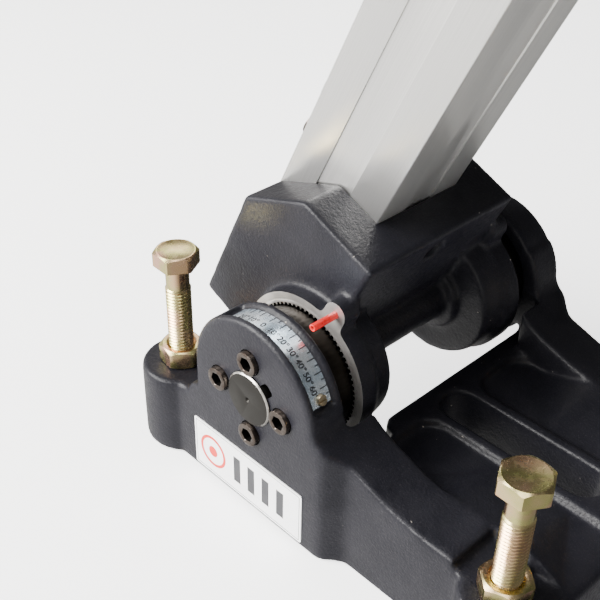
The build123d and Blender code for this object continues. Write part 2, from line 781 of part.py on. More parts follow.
# blocks that stop the carriage at both ends of its travel, each with one cap screw
for name, height in stop_heights.items():
    with BuildPart() as travel_stop:
        with BuildSketch(face_plane(column_front, 0, height)):
            RectangleRounded(stop_width, stop_height, 1.5)
        extrude(amount=stop_proud)
        with BuildSketch(face_plane(column_front + band_depth, 0, height)):
            Rectangle(band_width - 0.4, stop_height)
        extrude(amount=band_depth)
        with BuildSketch(face_plane(column_front + band_depth, 0, height)):
            Circle(stop_screw_radius)
        extrude(amount=stop_proud + band_depth, mode=Mode.SUBTRACT)
        with BuildSketch(face_plane(column_front - stop_proud, 0, height)):
            Circle(stop_screw_head_radius + 0.3)
        extrude(amount=-stop_screw_head_height, mode=Mode.SUBTRACT)
    save(travel_stop.part, f"{name}_travel_stop")

with BuildPart() as stop_screws:
    for height in stop_heights.values():
        with BuildSketch(face_plane(column_front + 9, 0, height)):
            Circle(stop_screw_radius)
        extrude(amount=9 + stop_proud - stop_screw_head_height)
        with BuildSketch(face_plane(column_front - stop_proud + stop_screw_head_height, 0, height)):
            Circle(stop_screw_head_radius)
        extrude(amount=stop_screw_head_height)
        with BuildSketch(face_plane(column_front - stop_proud, 0, height)):
            RegularPolygon(1.5, 6, major_radius=False)
        extrude(amount=-2.5, mode=Mode.SUBTRACT)
save(stop_screws.part, "stop_screws")

# ---------------------------------------------------------------- carriage
housing_mid = (carriage_front + carriage_rear) / 2
with BuildPart() as carriage_housing:
    with BuildSketch(column_plane(carriage_start)):
        with Locations((housing_mid, 0)):
            RectangleRounded(carriage_rear - carriage_front, 2 * carriage_half, 9)
        with Locations((column_mid, 0)):
            opening = column_size + 2 * (pad_thick + pad_gap)
            Rectangle(opening, opening, mode=Mode.SUBTRACT)
        with Locations((column_front - 8, 0)):
            Rectangle(18, rack_width + 6, mode=Mode.SUBTRACT)
    extrude(amount=carriage_length)
    with BuildSketch(lean_plane(0)):
        with Locations((pinion_x, pinion_height)):
            Circle(pinion_radius + module + 1.5)
    extrude(amount=12, both=True, mode=Mode.SUBTRACT)
    with BuildSketch(lean_plane(0)):
        with Locations((pinion_x, pinion_height)):
            Circle(pinion_bush_radius)
    extrude(amount=carriage_half + 1, both=True, mode=Mode.SUBTRACT)
    # threaded hole for the lock screw, square to the near face
    with BuildSketch(lean_plane(-carriage_half)):
        with Locations((column_mid, carriage_start + 34)):
            Circle(5.05)
    extrude(amount=-(carriage_half - column_size / 2 - pad_thick), mode=Mode.SUBTRACT)
save(carriage_housing.part, "carriage_housing")

with BuildPart() as guide_pads:
    # pads on each column face, near both ends of the housing; the rack splits the front ones
    for height in (carriage_start + 6, carriage_end - 34):
        with BuildSketch(column_plane(height)):
            for x, y, size_x, size_y in (
                (column_rear + pad_gap + pad_thick / 2, 0, pad_thick, 44),
                (column_mid, column_size / 2 + pad_gap + pad_thick / 2, 44, pad_thick),
                (column_mid, -column_size / 2 - pad_gap - pad_thick / 2, 44, pad_thick),
                (column_front - pad_gap - pad_thick / 2, 21.5, pad_thick, 15),
                (column_front - pad_gap - pad_thick / 2, -21.5, pad_thick, 15),
            ):
                with Locations((x, y)):
                    Rectangle(size_x, size_y)
        extrude(amount=28 if height > carriage_start + 20 else 18)
save(guide_pads.part, "guide_pads")

with BuildPart() as pinion_bushes:
    for side in (-1, 1):
        with BuildSketch(lean_plane(side * carriage_half)):
            with Locations((pinion_x, pinion_height)):
                Circle(pinion_bush_radius)
                Circle(pinion_shaft_radius + running_gap, mode=Mode.SUBTRACT)
        extrude(amount=(carriage_half - 12) * side)
        with BuildSketch(lean_plane(side * carriage_half)):
            with Locations((pinion_x, pinion_height)):
                Circle(pinion_bush_radius + 4)
                Circle(pinion_shaft_radius + running_gap, mode=Mode.SUBTRACT)
        extrude(amount=-3 * side)
save(pinion_bushes.part, "pinion_bushes")

# motor collar: a split ring on a foot that bolts to the housing's front
collar_x = carriage_front - collar_reach
collar_base = carriage_start + (carriage_length - collar_length) / 2
foot_bolts = [(side * 34, end) for side in (-1, 1) for end in (12, collar_length - 12)]
with BuildPart() as motor_collar:
    with BuildSketch(column_plane(collar_base)):
        with Locations((collar_x, 0)):
            Circle(collar_radius)
        with Locations(((collar_x + carriage_front) / 2, 0)):
            Rectangle(carriage_front - collar_x, 50)
        with Locations((carriage_front - 6, 0)):
            Rectangle(12, 2 * carriage_half - 8)
        with Locations((collar_x - collar_radius - 6, 0)):
            Rectangle(30, 34)
        with Locations((collar_x, 0)):
            Circle(collar_bore, mode=Mode.SUBTRACT)
        with Locations((collar_x - collar_radius, 0)):
            Rectangle(50, 4, mode=Mode.SUBTRACT)
    extrude(amount=collar_length)
    for y, height in foot_bolts:
        with BuildSketch(face_plane(carriage_front, y, collar_base + height)):
            Circle(4.3)
        extrude(amount=20, mode=Mode.SUBTRACT)
    for height in (20, collar_length - 20):
        with BuildSketch(lean_plane(0)):
            with Locations((collar_x - collar_radius - 12, collar_base + height)):
                Circle(5.3)
        extrude(amount=40, both=True, mode=Mode.SUBTRACT)
save(motor_collar.part, "motor_collar")

with BuildPart() as collar_foot_bolts:
    for y, height in foot_bolts:
        with BuildSketch(face_plane(carriage_front - 12, y, collar_base + height)):
            Circle(screw_head_radius)
        extrude(amount=screw_head_height)
        with BuildSketch(face_plane(carriage_front - 12, y, collar_base + height)):
            Circle(4)
        extrude(amount=-12)
        with BuildSketch(face_plane(carriage_front - 12 - screw_head_height, y, collar_base + height)):
            RegularPolygon(3, 6, major_radius=False)
        extrude(amount=-4.5, mode=Mode.SUBTRACT)
save(collar_foot_bolts.part, "collar_foot_bolts")

with BuildPart() as collar_clamp_bolts:
    for height in (20, collar_length - 20):
        with BuildSketch(lean_plane(-17)):
            with Locations((collar_x - collar_radius - 12, collar_base + height)):
                Circle(8)
        extrude(amount=10)
        with BuildSketch(lean_plane(28)):
            with Locations((collar_x - collar_radius - 12, collar_base + height)):
                Circle(5)
        extrude(amount=45)
        with BuildSketch(lean_plane(17)):
            with Locations((collar_x - collar_radius - 12, collar_base + height)):
                RegularPolygon(8.5, 6, major_radius=False)
        extrude(amount=-8)
        with BuildSketch(lean_plane(-27)):
            with Locations((collar_x - collar_radius - 12, collar_base + height)):
                RegularPolygon(4, 6, major_radius=False)
        extrude(amount=-6, mode=Mode.SUBTRACT)
save(collar_clamp_bolts.part, "collar_clamp_bolts")

# ---------------------------------------------------------------- pinion, shaft and crank
crank_y = carriage_half + 16
with BuildPart() as pinion:
    with BuildSketch(lean_plane(0)):
        with Locations((pinion_x, pinion_height)):
            Circle(pinion_radius - 1.25 * module)
            with PolarLocations(pinion_radius, pinion_teeth, start_angle=180 / pinion_teeth):
                Polygon(
                    (-1.5 * module, -1.9),
                    (0, -1.25),
                    (module, -0.5),
                    (module, 0.5),
                    (0, 1.25),
                    (-1.5 * module, 1.9),
                    align=None,
                )
            Circle(pinion_shaft_radius, mode=Mode.SUBTRACT)
    extrude(amount=rack_width / 2, both=True)
save(pinion.part, "pinion")

with BuildPart() as pinion_shaft:
    with BuildSketch(lean_plane(crank_y + 16)):
        with Locations((pinion_x, pinion_height)):
            Circle(pinion_shaft_radius)
    extrude(amount=crank_y + 16 + carriage_half + 10)
    chamfer(pinion_shaft.faces().filter_by(Axis.Y).edges(), 1)
save(pinion_shaft.part, "pinion_shaft")

with BuildPart() as retaining_ring:
    with BuildSketch(lean_plane(-carriage_half - 4)):
        with Locations((pinion_x, pinion_height)):
            Circle(13)
            Circle(pinion_shaft_radius, mode=Mode.SUBTRACT)
    extrude(amount=3)
save(retaining_ring.part, "shaft_retaining_ring")

with BuildPart() as crank_hub:
    with BuildSketch(lean_plane(crank_y - 12)):
        with Locations((pinion_x, pinion_height)):
            Circle(crank_hub_radius)
    extrude(amount=-crank_hub_length)
    chamfer(crank_hub.faces().filter_by(Axis.Y).edges(), 2)
    with BuildSketch(lean_plane(crank_y - 12)):
        with Locations((pinion_x, pinion_height)):
            Circle(pinion_shaft_radius)
    extrude(amount=-crank_hub_length, mode=Mode.SUBTRACT)
save(crank_hub.part, "crank_hub")


def crank_spoke_plane(index):
    """Plane at a crank arm's root on the hub, looking out along the arm."""
    hub = lean_plane(crank_y + 1)
    centre = hub.from_local_coords(Vector(pinion_x, pinion_height, 0))
    angle = pi / 4 + index * pi / 2
    outward = hub.x_dir * cos(angle) + hub.y_dir * sin(angle)
    return Plane(origin=centre + outward * (crank_hub_radius - 0.5), x_dir=(0, 1, 0), z_dir=outward)


arm_length = crank_length - 26
with BuildPart() as crank_arms:
    for index in range(4):
        with BuildSketch(crank_spoke_plane(index)):
            Circle(5)
        extrude(amount=arm_length)
    with BuildSketch(lean_plane(crank_y - 12)):
        with Locations((pinion_x, pinion_height)):
            Circle(crank_hub_radius)
    extrude(amount=-crank_hub_length, mode=Mode.SUBTRACT)
save(crank_arms.part, "crank_arms")

with BuildPart() as crank_knobs:
    for index in range(4):
        seat = crank_spoke_plane(index).offset(arm_length)
        with BuildSketch(seat):
            Circle(7)
        extrude(amount=6)
        with Locations(seat.offset(knob_radius).location):
            Sphere(knob_radius)
        with BuildSketch(seat):
            Circle(20)
        extrude(amount=-12, mode=Mode.SUBTRACT)
save(crank_knobs.part, "crank_knobs")

# ---------------------------------------------------------------- carriage lock
lock_plane = lean_plane(-carriage_half)
with BuildPart() as lock_screw:
    with BuildSketch(lean_plane(-column_size / 2 + band_depth - 0.2)):
        with Locations((column_mid, carriage_start + 34)):
            Circle(5)
    extrude(amount=carriage_half - column_size / 2 + band_depth + 14)
save(lock_screw.part, "lock_screw")
with BuildPart() as lock_knob:
    with BuildSketch(lock_plane.offset(3)):
        with Locations((column_mid, carriage_start + 34)):
            Circle(20)
            with PolarLocations(21.5, 7):
                Circle(5, mode=Mode.SUBTRACT)
    extrude(amount=17)
    with BuildSketch(lock_plane.offset(3)):
        with Locations((column_mid, carriage_start + 34)):
            Circle(5)
    extrude(amount=11.2, mode=Mode.SUBTRACT)
save(lock_knob.part, "lock_knob")
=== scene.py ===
import json
import math

import bmesh
import bpy
import numpy as np
from mathutils import Matrix, Vector, noise


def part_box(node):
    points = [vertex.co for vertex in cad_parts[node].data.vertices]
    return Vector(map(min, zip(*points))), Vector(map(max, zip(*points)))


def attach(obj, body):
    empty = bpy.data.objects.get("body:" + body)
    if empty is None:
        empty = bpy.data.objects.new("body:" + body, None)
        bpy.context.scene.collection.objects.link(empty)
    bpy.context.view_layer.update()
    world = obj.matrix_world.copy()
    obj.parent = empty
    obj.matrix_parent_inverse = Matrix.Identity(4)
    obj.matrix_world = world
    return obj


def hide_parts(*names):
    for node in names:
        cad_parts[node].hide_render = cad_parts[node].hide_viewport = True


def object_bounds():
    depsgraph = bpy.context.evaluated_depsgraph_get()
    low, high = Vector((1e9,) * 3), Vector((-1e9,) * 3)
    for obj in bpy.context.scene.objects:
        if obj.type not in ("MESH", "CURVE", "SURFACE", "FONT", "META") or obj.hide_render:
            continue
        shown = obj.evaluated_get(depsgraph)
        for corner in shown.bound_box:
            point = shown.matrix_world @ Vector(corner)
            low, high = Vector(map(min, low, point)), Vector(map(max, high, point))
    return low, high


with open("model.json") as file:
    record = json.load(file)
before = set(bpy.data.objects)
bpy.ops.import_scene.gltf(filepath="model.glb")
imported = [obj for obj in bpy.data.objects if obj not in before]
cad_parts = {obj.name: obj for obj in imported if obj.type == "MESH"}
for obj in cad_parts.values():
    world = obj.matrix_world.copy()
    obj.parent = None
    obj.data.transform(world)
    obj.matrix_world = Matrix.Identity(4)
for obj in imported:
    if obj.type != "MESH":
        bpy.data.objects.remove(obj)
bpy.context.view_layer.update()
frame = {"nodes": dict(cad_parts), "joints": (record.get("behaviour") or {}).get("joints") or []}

nodes = frame["nodes"]
MM = 0.001

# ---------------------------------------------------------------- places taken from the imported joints
joints = {joint["name"]: joint for joint in frame["joints"]}
PIVOT = Vector(joints["column_tilt"]["pos_m"])
ALONG = Vector(joints["carriage_feed"]["axis"]).normalized()  # up the column
SQUARE = Vector((ALONG.z, 0, -ALONG.x))  # square off the column, to the rear
NEAR_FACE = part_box("nameplate")[1].y  # the near ear's outer face
REAR = Vector((1, 0, 0))
ACROSS = Vector((0, 1, 0))
UP = Vector((0, 0, 1))


def base_point(x, depth, z):
    """A point of the base, in mm: x rearward and z up from the tilt axis, depth from the near face."""
    return Vector((PIVOT.x + x * MM, NEAR_FACE + depth * MM, PIVOT.z + z * MM))


def head_point(x, depth, height):
    """A point of the head, in mm: x square off the column, height up it, depth from the near face."""
    point = PIVOT + SQUARE * x * MM + ALONG * height * MM
    return Vector((point.x, NEAR_FACE + depth * MM, point.z))


# ---------------------------------------------------------------- mesh tools
def new_object(name, mesh, body, slot, *replaced):
    """Link a mesh as a piece that rides on a body and stands for CAD nodes."""
    piece = bpy.data.objects.new(name, mesh)
    bpy.context.scene.collection.objects.link(piece)
    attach(piece, body)
    if replaced:
        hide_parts(*replaced)
    return piece


def mesh_from(name, points, faces):
    """A mesh from points in metres, smooth except along edges sharper than 30 degrees."""
    mesh = bpy.data.meshes.new(name)
    mesh.from_pydata([tuple(p) for p in points], [], faces)
    mesh.validate()
    smooth(mesh, 30)
    return mesh


def smooth(mesh, angle):
    """Shade smooth, except along edges sharper than the angle in degrees."""
    mesh.shade_smooth()
    mesh.set_sharp_from_angle(angle=math.radians(angle))


def axes(z_axis, x_hint):
    """Matrix whose columns are the x, y and z axes of a frame with this z."""
    z = Vector(z_axis).normalized()
    x = (Vector(x_hint) - z * z.dot(Vector(x_hint))).normalized()
    return Matrix((x, z.cross(x), z)).transposed()


def skin(rings, close_start=True, close_end=True):
    """Points and faces of a closed surface drawn through rings that have equal numbers of points."""
    count = len(rings[0])
    points = [p for ring in rings for p in ring]
    faces = []
    for row in range(len(rings) - 1):
        low, high = row * count, (row + 1) * count
        for i in range(count):
            j = (i + 1) % count
            faces.append((low + i, low + j, high + j, high + i))
    if close_start:
        faces.append(tuple(reversed(range(count))))
    if close_end:
        last = (len(rings) - 1) * count
        faces.append(tuple(range(last, last + count)))
    return points, faces


def join_skins(*parts):
    """One set of points and faces from several."""
    points, faces = [], []
    for part_points, part_faces in parts:
        shift = len(points)
        points += part_points
        faces += [tuple(i + shift for i in face) for face in part_faces]
    return points, faces


def placed(points, origin, turn):
    """Local points in mm, put at an origin in metres with a frame's axes."""
    return [origin + turn @ (Vector(p) * MM) for p in points]


def full_turn(count):
    """Evenly spaced angles round a circle, in radians."""
    return np.linspace(0, 2 * math.pi, count, False)


def circle_ring(radius, z, count):
    return [(radius * math.cos(a), radius * math.sin(a), z) for a in full_turn(count)]


def hex_reach(angle, flats, turn):
    """Distance from a hexagon's middle to its rim; a corner stands at the turn angle, in radians."""
    return flats / 2 / math.cos((angle - turn) % (math.pi / 3) - math.pi / 6)


def hex_ring(flats, turn, z, count):
    ring = []
    for angle in full_turn(count):
        reach = hex_reach(angle, flats, turn)
        ring.append((reach * math.cos(angle), reach * math.sin(angle), z))
    return ring


RINGS_PER_PITCH = 8
THREAD_FADE = 1.2  # length over which a thread runs out, mm
FLANK = 1.25  # above 1, so that the bottom of the thread is flat


def thread_rings(radius, depth, pitch, z_start, z_end, count):
    """Rings of a helical thread that fades out at both ends."""
    rings = []
    for z in np.arange(z_start, z_end, pitch / RINGS_PER_PITCH):
        ring = []
        fade = min(1.0, (z - z_start) / THREAD_FADE, (z_end - z) / THREAD_FADE)
        for angle in full_turn(count):
            phase = (z / pitch - angle / (2 * math.pi)) % 1.0
            reach = radius - depth * fade * min(1.0, FLANK * (1 - abs(2 * phase - 1)))
            ring.append((reach * math.cos(angle), reach * math.sin(angle), z))
        rings.append(ring)
    return rings


def apply_modifiers(piece):
    """Bake a piece's modifiers into its mesh."""
    depsgraph = bpy.context.evaluated_depsgraph_get()
    mesh = bpy.data.meshes.new_from_object(piece.evaluated_get(depsgraph))
    piece.modifiers.clear()
    piece.data = mesh
    return mesh


WELD = 2e-6  # CAD vertices closer than this are one, metres


def welded_copy(node):
    """A copy of a CAD node's mesh, and the same mesh open for editing with its vertices welded."""
    mesh = nodes[node].data.copy()
    mesh.materials.clear()
    edit = bmesh.new()
    edit.from_mesh(mesh)
    bmesh.ops.remove_doubles(edit, verts=edit.verts, dist=WELD)
    return mesh, edit


def bevelled(node, body, slot, material, width):
    """Replace a CAD node by the same shape with its sharp edges broken; the width is in mm."""
    mesh, edit = welded_copy(node)
    bmesh.ops.dissolve_limit(edit, angle_limit=math.radians(1.5), verts=edit.verts, edges=edit.edges)
    edit.to_mesh(mesh)
    edit.free()
    piece = new_object(f"{node}_finished", mesh, body, slot, node)
    bevel = piece.modifiers.new("edges", "BEVEL")
    bevel.width = width * MM
    bevel.segments = 2
    bevel.limit_method = "ANGLE"
    bevel.angle_limit = math.radians(38)
    bevel.use_clamp_overlap = True
    smooth(apply_modifiers(piece), 32)
    piece.data.materials.append(material)
    return piece


def across_cylinder(x, height, radius, near_depth, far_depth, point=base_point, count=96):
    """Closed cylinder along the tilt shaft's direction, in the base's or the head's coordinates."""
    rings = []
    for depth in (near_depth, far_depth):
        ring = []
        for angle in full_turn(count):
            ring.append(point(x + radius * math.sin(angle), depth, height + radius * math.cos(angle)))
        rings.append(ring)
    return skin(rings)


def block(low, high, point):
    """Closed box between two corners, in the base's or the head's coordinates."""
    rings = []
    for height in (low[2], high[2]):
        rings.append([
            point(low[0], low[1], height),
            point(high[0], low[1], height),
            point(high[0], high[1], height),
            point(low[0], high[1], height),
        ])
    return skin(rings)


def outward(mesh):
    """Turn every face of a closed mesh outward."""
    edit = bmesh.new()
    edit.from_mesh(mesh)
    bmesh.ops.recalc_face_normals(edit, faces=edit.faces)
    edit.to_mesh(mesh)
    edit.free()


def cut(piece, *solids):
    """Take closed solids out of a piece, leaving crisp edges."""
    points, faces = join_skins(*solids)
    mesh = bpy.data.meshes.new("cutter")
    mesh.from_pydata([tuple(p) for p in points], [], faces)
    outward(mesh)
    cutter = bpy.data.objects.new("cutter", mesh)
    bpy.context.scene.collection.objects.link(cutter)
    boolean = piece.modifiers.new("cut", "BOOLEAN")
    boolean.operation = "DIFFERENCE"
    boolean.solver = "EXACT"
    boolean.use_self = False
    boolean.object = cutter
    apply_modifiers(piece)
    bpy.data.objects.remove(cutter)


CAST_GRAIN = 0.12  # height of the casting's uneven skin, mm


def as_cast(node, body, fillers, voxel, passes, softening=None):
    """Replace a CAD casting by one with the soft edges and slightly uneven skin of a sand casting.

    The fillers are solids that close machined features before the skin is made. The voxel is in mm.
    softening(points), if any, gives how much of the softening each point takes, from 0 to 1.
    """
    mesh, edit = welded_copy(node)
    for points, faces in fillers:
        corners = [edit.verts.new(p) for p in points]
        for face in faces:
            edit.faces.new([corners[i] for i in face])
    bmesh.ops.recalc_face_normals(edit, faces=edit.faces)
    edit.to_mesh(mesh)
    edit.free()
    piece = new_object(f"{node}_cast", mesh, body, "cast_paint", node)
    remesh = piece.modifiers.new("skin", "REMESH")
    remesh.mode = "VOXEL"
    remesh.voxel_size = voxel * MM
    mesh = apply_modifiers(piece)
    count = len(mesh.vertices)
    points = np.zeros(count * 3)
    mesh.vertices.foreach_get("co", points)
    points = points.reshape(-1, 3)
    pairs = np.zeros(len(mesh.edges) * 2, dtype=np.int64)
    mesh.edges.foreach_get("vertices", pairs)
    pairs = pairs.reshape(-1, 2)
    valence = np.bincount(pairs.ravel(), minlength=count).reshape(-1, 1).clip(1)
    share = 0.5 * (softening(points) if softening else np.ones(count)).reshape(-1, 1)

    def mean_of_neighbours(values):
        total = np.zeros_like(values)
        for axis in range(3):
            total[:, axis] += np.bincount(pairs[:, 0], values[pairs[:, 1], axis], count)
            total[:, axis] += np.bincount(pairs[:, 1], values[pairs[:, 0], axis], count)
        return total / valence

    for _ in range(passes):
        points += share * (mean_of_neighbours(points) - points)
    mesh.vertices.foreach_set("co", points.ravel())
    mesh.update()
    normals = np.zeros(count * 3)
    mesh.vertices.foreach_get("normal", normals)
    normals = normals.reshape(-1, 3)
    swell = np.array([noise.noise(Vector(p) * 55) + 0.4 * noise.noise(Vector(p) * 190) for p in points])
    points += normals * (swell.reshape(-1, 1) * CAST_GRAIN - 0.5 * CAST_GRAIN) * MM * share * 2
    mesh.vertices.foreach_set("co", points.ravel())
    mesh.update()
    return piece


# ---------------------------------------------------------------- materials
class Look:
    """A node material under construction: a Principled shader and short calls that add nodes to it."""

    def __init__(self, name, base, **settings):
        self.material = bpy.data.materials.new(name)
        self.material.use_nodes = True
        self.tree = self.material.node_tree
        self.shader = self.tree.nodes["Principled BSDF"]
        self.place = self.add("ShaderNodeTexCoord").outputs["Object"]
        self.shader.inputs["Base Color"].default_value = (*base, 1)
        self.material.diffuse_color = (*base, 1)
        for key, value in settings.items():
            self.shader.inputs[key.replace("_", " ")].default_value = value

    def add(self, kind, **settings):
        node = self.tree.nodes.new(kind)
        for key, value in settings.items():
            setattr(node, key, value)
        return node

    def feed(self, source, target):
        self.tree.links.new(source, target)

    def noise(self, scale, detail=3.0, roughness=0.55, vector=None):
        node = self.add("ShaderNodeTexNoise")
        node.inputs["Scale"].default_value = scale
        node.inputs["Detail"].default_value = detail
        node.inputs["Roughness"].default_value = roughness
        self.feed(vector or self.place, node.inputs["Vector"])
        return node.outputs["Fac"]

    def scaled(self, value, low, high, from_low=0.3, from_high=0.7):
        node = self.add("ShaderNodeMapRange")
        limits = {"From Min": from_low, "From Max": from_high, "To Min": low, "To Max": high}
        for key, number in limits.items():
            node.inputs[key].default_value = number
        self.feed(value, node.inputs["Value"])
        return node.outputs["Result"]

    def ramp(self, value, *stops):
        node = self.add("ShaderNodeValToRGB")
        ramp = node.color_ramp
        while len(ramp.elements) < len(stops):
            ramp.elements.new(0.5)
        for element, (place, colour) in zip(ramp.elements, stops):
            element.position = place
            element.color = (*colour, 1)
        self.feed(value, node.inputs["Fac"])
        return node.outputs["Color"]

    def mix(self, factor, first, second, blend="MIX"):
        node = self.add("ShaderNodeMix", data_type="RGBA", blend_type=blend)
        for value, key in ((factor, 0), (first, 6), (second, 7)):
            if isinstance(value, (int, float)):
                node.inputs[key].default_value = value
            elif isinstance(value, tuple):
                node.inputs[key].default_value = (*value, 1)
            else:
                self.feed(value, node.inputs[key])
        return node.outputs[2]

    def math(self, operation, first, second=0.0):
        node = self.add("ShaderNodeMath", operation=operation)
        for value, key in ((first, 0), (second, 1)):
            if isinstance(value, (int, float)):
                node.inputs[key].default_value = value
            else:
                self.feed(value, node.inputs[key])
        return node.outputs[0]

    def along(self, direction, origin=(0, 0, 0)):
        """How far a point is along a direction, in metres."""
        shift = self.add("ShaderNodeVectorMath", operation="SUBTRACT")
        self.feed(self.place, shift.inputs[0])
        shift.inputs[1].default_value = origin
        dot = self.add("ShaderNodeVectorMath", operation="DOT_PRODUCT")
        self.feed(shift.outputs[0], dot.inputs[0])
        dot.inputs[1].default_value = direction
        return dot.outputs["Value"]

    def vector(self, x, y, z):
        node = self.add("ShaderNodeCombineXYZ")
        for value, key in ((x, 0), (y, 1), (z, 2)):
            if isinstance(value, (int, float)):
                node.inputs[key].default_value = value
            else:
                self.feed(value, node.inputs[key])
        return node.outputs[0]

    def bump(self, height, strength, distance):
        node = self.add("ShaderNodeBump")
        node.inputs["Strength"].default_value = strength
        node.inputs["Distance"].default_value = distance * MM
        self.feed(height, node.inputs["Height"])
        earlier = self.shader.inputs["Normal"].links
        if earlier:
            self.feed(earlier[0].from_socket, node.inputs["Normal"])
        self.feed(node.outputs["Normal"], self.shader.inputs["Normal"])

    def colour(self, source):
        self.feed(source, self.shader.inputs["Base Color"])

    def rough(self, source):
        self.feed(source, self.shader.inputs["Roughness"])


def cast_paint(name, depth):
    """Anthracite enamel on a casting: orange peel, fine specks painted lighter as sparkle glints, a
    painted highlight along the edges in patches, rare chips.
    """
    look = Look(name, (0.012, 0.012, 0.014), Specular_IOR_Level=0.23)
    cloud = look.noise(38, 4)
    base = look.mix(look.scaled(cloud, 0, 1), (0.007, 0.007, 0.0105), (0.014, 0.0138, 0.018))
    # painted glints: fine specks lighter than the paint stand in for its sparkle
    glint_speck = look.noise(2600, 1.0)
    base = look.mix(look.scaled(glint_speck, 0, 0.4, 0.64, 0.74), base, (0.10, 0.095, 0.10))
    # painted highlight: convex edges, found by pointiness, are lightened in patches
    geometry = look.add("ShaderNodeNewGeometry")
    edges = look.scaled(geometry.outputs["Pointiness"], 0, 1, 0.53, 0.60)
    edge_highlight = look.math("MULTIPLY", edges, look.scaled(look.noise(160, 5), 0.1, 1.0, 0.42, 0.62))
    base = look.mix(look.math("MULTIPLY", edge_highlight, 0.35), base, (0.12, 0.125, 0.14))
    chip = look.scaled(look.noise(210, 2.0, 0.7), 0, 1, 0.75, 0.765)
    base = look.mix(look.math("MULTIPLY", chip, 0.8), base, (0.30, 0.27, 0.24))
    look.colour(base)
    look.rough(look.scaled(look.noise(420, 3), 0.28, 0.44))
    look.bump(look.noise(640, 3.0, 0.6), depth, 0.28)
    look.bump(look.noise(130, 2.0, 0.5), 0.25 * depth, 0.35)
    return look.material


def brushed_aluminium():
    """Anodised extrusion: fine streaks up the column."""
    look = Look("column_anodising", (0.60, 0.60, 0.59), Metallic=0.9, Anisotropic=0.5)
    grain = look.vector(
        look.math("MULTIPLY", look.along(SQUARE), 2600),
        look.math("MULTIPLY", look.along(ACROSS), 2600),
        look.math("MULTIPLY", look.along(ALONG), 14),
    )
    streak = look.noise(1.0, 3.0, 0.6, grain)
    look.colour(look.ramp(
        streak,
        (0.30, (0.72, 0.715, 0.70)),
        (0.52, (0.77, 0.765, 0.75)),
        (0.75, (0.83, 0.825, 0.81)),
    ))
    look.rough(look.scaled(streak, 0.28, 0.38))
    look.bump(streak, 0.10, 0.05)
    look.bump(look.noise(24, 2.0), 0.05, 0.3)
    return look.material


def shades(colour, spread):
    """A darker and a lighter shade of a colour."""
    darker = tuple(c * (1 - spread) for c in colour)
    lighter = tuple(min(1, c * (1 + spread)) for c in colour)
    return darker, lighter


def turned_metal(name, colour, roughness, pitch, metallic=1.0, spread=0.14):
    """Metal with the fine rings that a lathe leaves about the tilt axis, at a pitch in mm."""
    look = Look(name, colour, Metallic=metallic)
    side = UP.cross(ACROSS).normalized()
    other = ACROSS.cross(side).normalized()
    u, v = look.along(side, PIVOT), look.along(other, PIVOT)
    square = look.math("ADD", look.math("MULTIPLY", u, u), look.math("MULTIPLY", v, v))
    radius = look.math("MULTIPLY", look.math("SQRT", square), 1 / (pitch * MM))
    rings = look.noise(1.0, 2.0, 0.6, look.vector(radius, 0.0, 0.0))
    cloud = look.noise(90, 4)
    low, high = shades(colour, spread)
    ring_tone = look.ramp(rings, (0.3, low), (0.7, high))
    look.colour(look.mix(0.5, ring_tone, look.ramp(cloud, (0.35, low), (0.65, high))))
    look.rough(look.scaled(cloud, roughness - 0.06, roughness + 0.08))
    look.bump(rings, 0.18, 0.05)
    return look.material


def plain_metal(name, colour, roughness, spread=0.25, grain=260, dirt=None, bump=0.12):
    """Metal with patchy tone and roughness, and optional dirt in patches."""
    look = Look(name, colour, Metallic=1.0)
    low, high = shades(colour, spread)
    tone = look.ramp(look.noise(grain, 4), (0.3, low), (0.7, high))
    if dirt:
        tone = look.mix(look.scaled(look.noise(grain * 0.45, 5), 0, 0.85, 0.5, 0.68), tone, dirt)
    look.colour(tone)
    look.rough(look.scaled(look.noise(grain * 1.7, 3), roughness - 0.08, roughness + 0.12))
    look.bump(look.noise(grain * 4, 2), bump, 0.08)
    return look.material


def yellow_zinc():
    """Yellow passivated zinc: gold that drifts into pink and green in patches, and whose hue also
    shifts with the facing angle, a painted sheen.
    """
    look = Look("yellow_zinc", (0.72, 0.56, 0.33), Metallic=1.0)
    drift = look.noise(42, 2.0, 0.5)
    # painted sheen: the hue shifts with how squarely each face is seen
    sheen_facing = look.add("ShaderNodeLayerWeight")
    sheen_facing.inputs["Blend"].default_value = 0.4
    shift = look.math("ADD", drift, look.math("MULTIPLY", sheen_facing.outputs["Facing"], 0.22))
    look.colour(look.ramp(
        shift,
        (0.34, (0.80, 0.56, 0.26)),
        (0.45, (0.86, 0.56, 0.34)),
        (0.54, (0.82, 0.64, 0.34)),
        (0.62, (0.64, 0.60, 0.24)),
        (0.72, (0.86, 0.52, 0.38)),
        (0.86, (0.70, 0.56, 0.30)),
    ))
    look.rough(look.scaled(look.noise(300, 3), 0.20, 0.32))
    look.bump(look.noise(700, 2), 0.05, 0.05)
    return look.material


def moulded(name, colour, roughness, grain=900, spread=0.3, strength=0.2):
    """Moulded plastic, print or powder coat: an even colour with a fine skin."""
    look = Look(name, colour)
    low, high = shades(colour, spread)
    look.colour(look.ramp(look.noise(70, 3), (0.3, low), (0.7, high)))
    look.rough(look.scaled(look.noise(grain * 0.4, 3), roughness - 0.06, roughness + 0.08))
    look.bump(look.noise(grain, 2), strength, 0.08)
    return look.material


def foil():
    """Thin bright scale foil, a little crumpled."""
    look = Look("scale_foil", (0.60, 0.70, 0.80), Metallic=0.8)
    look.colour(look.ramp(look.noise(60, 3), (0.32, (0.55, 0.68, 0.80)), (0.68, (0.82, 0.86, 0.90))))
    look.rough(look.scaled(look.noise(300, 3), 0.16, 0.28))
    look.bump(look.noise(90, 2), 0.12, 0.12)
    return look.material


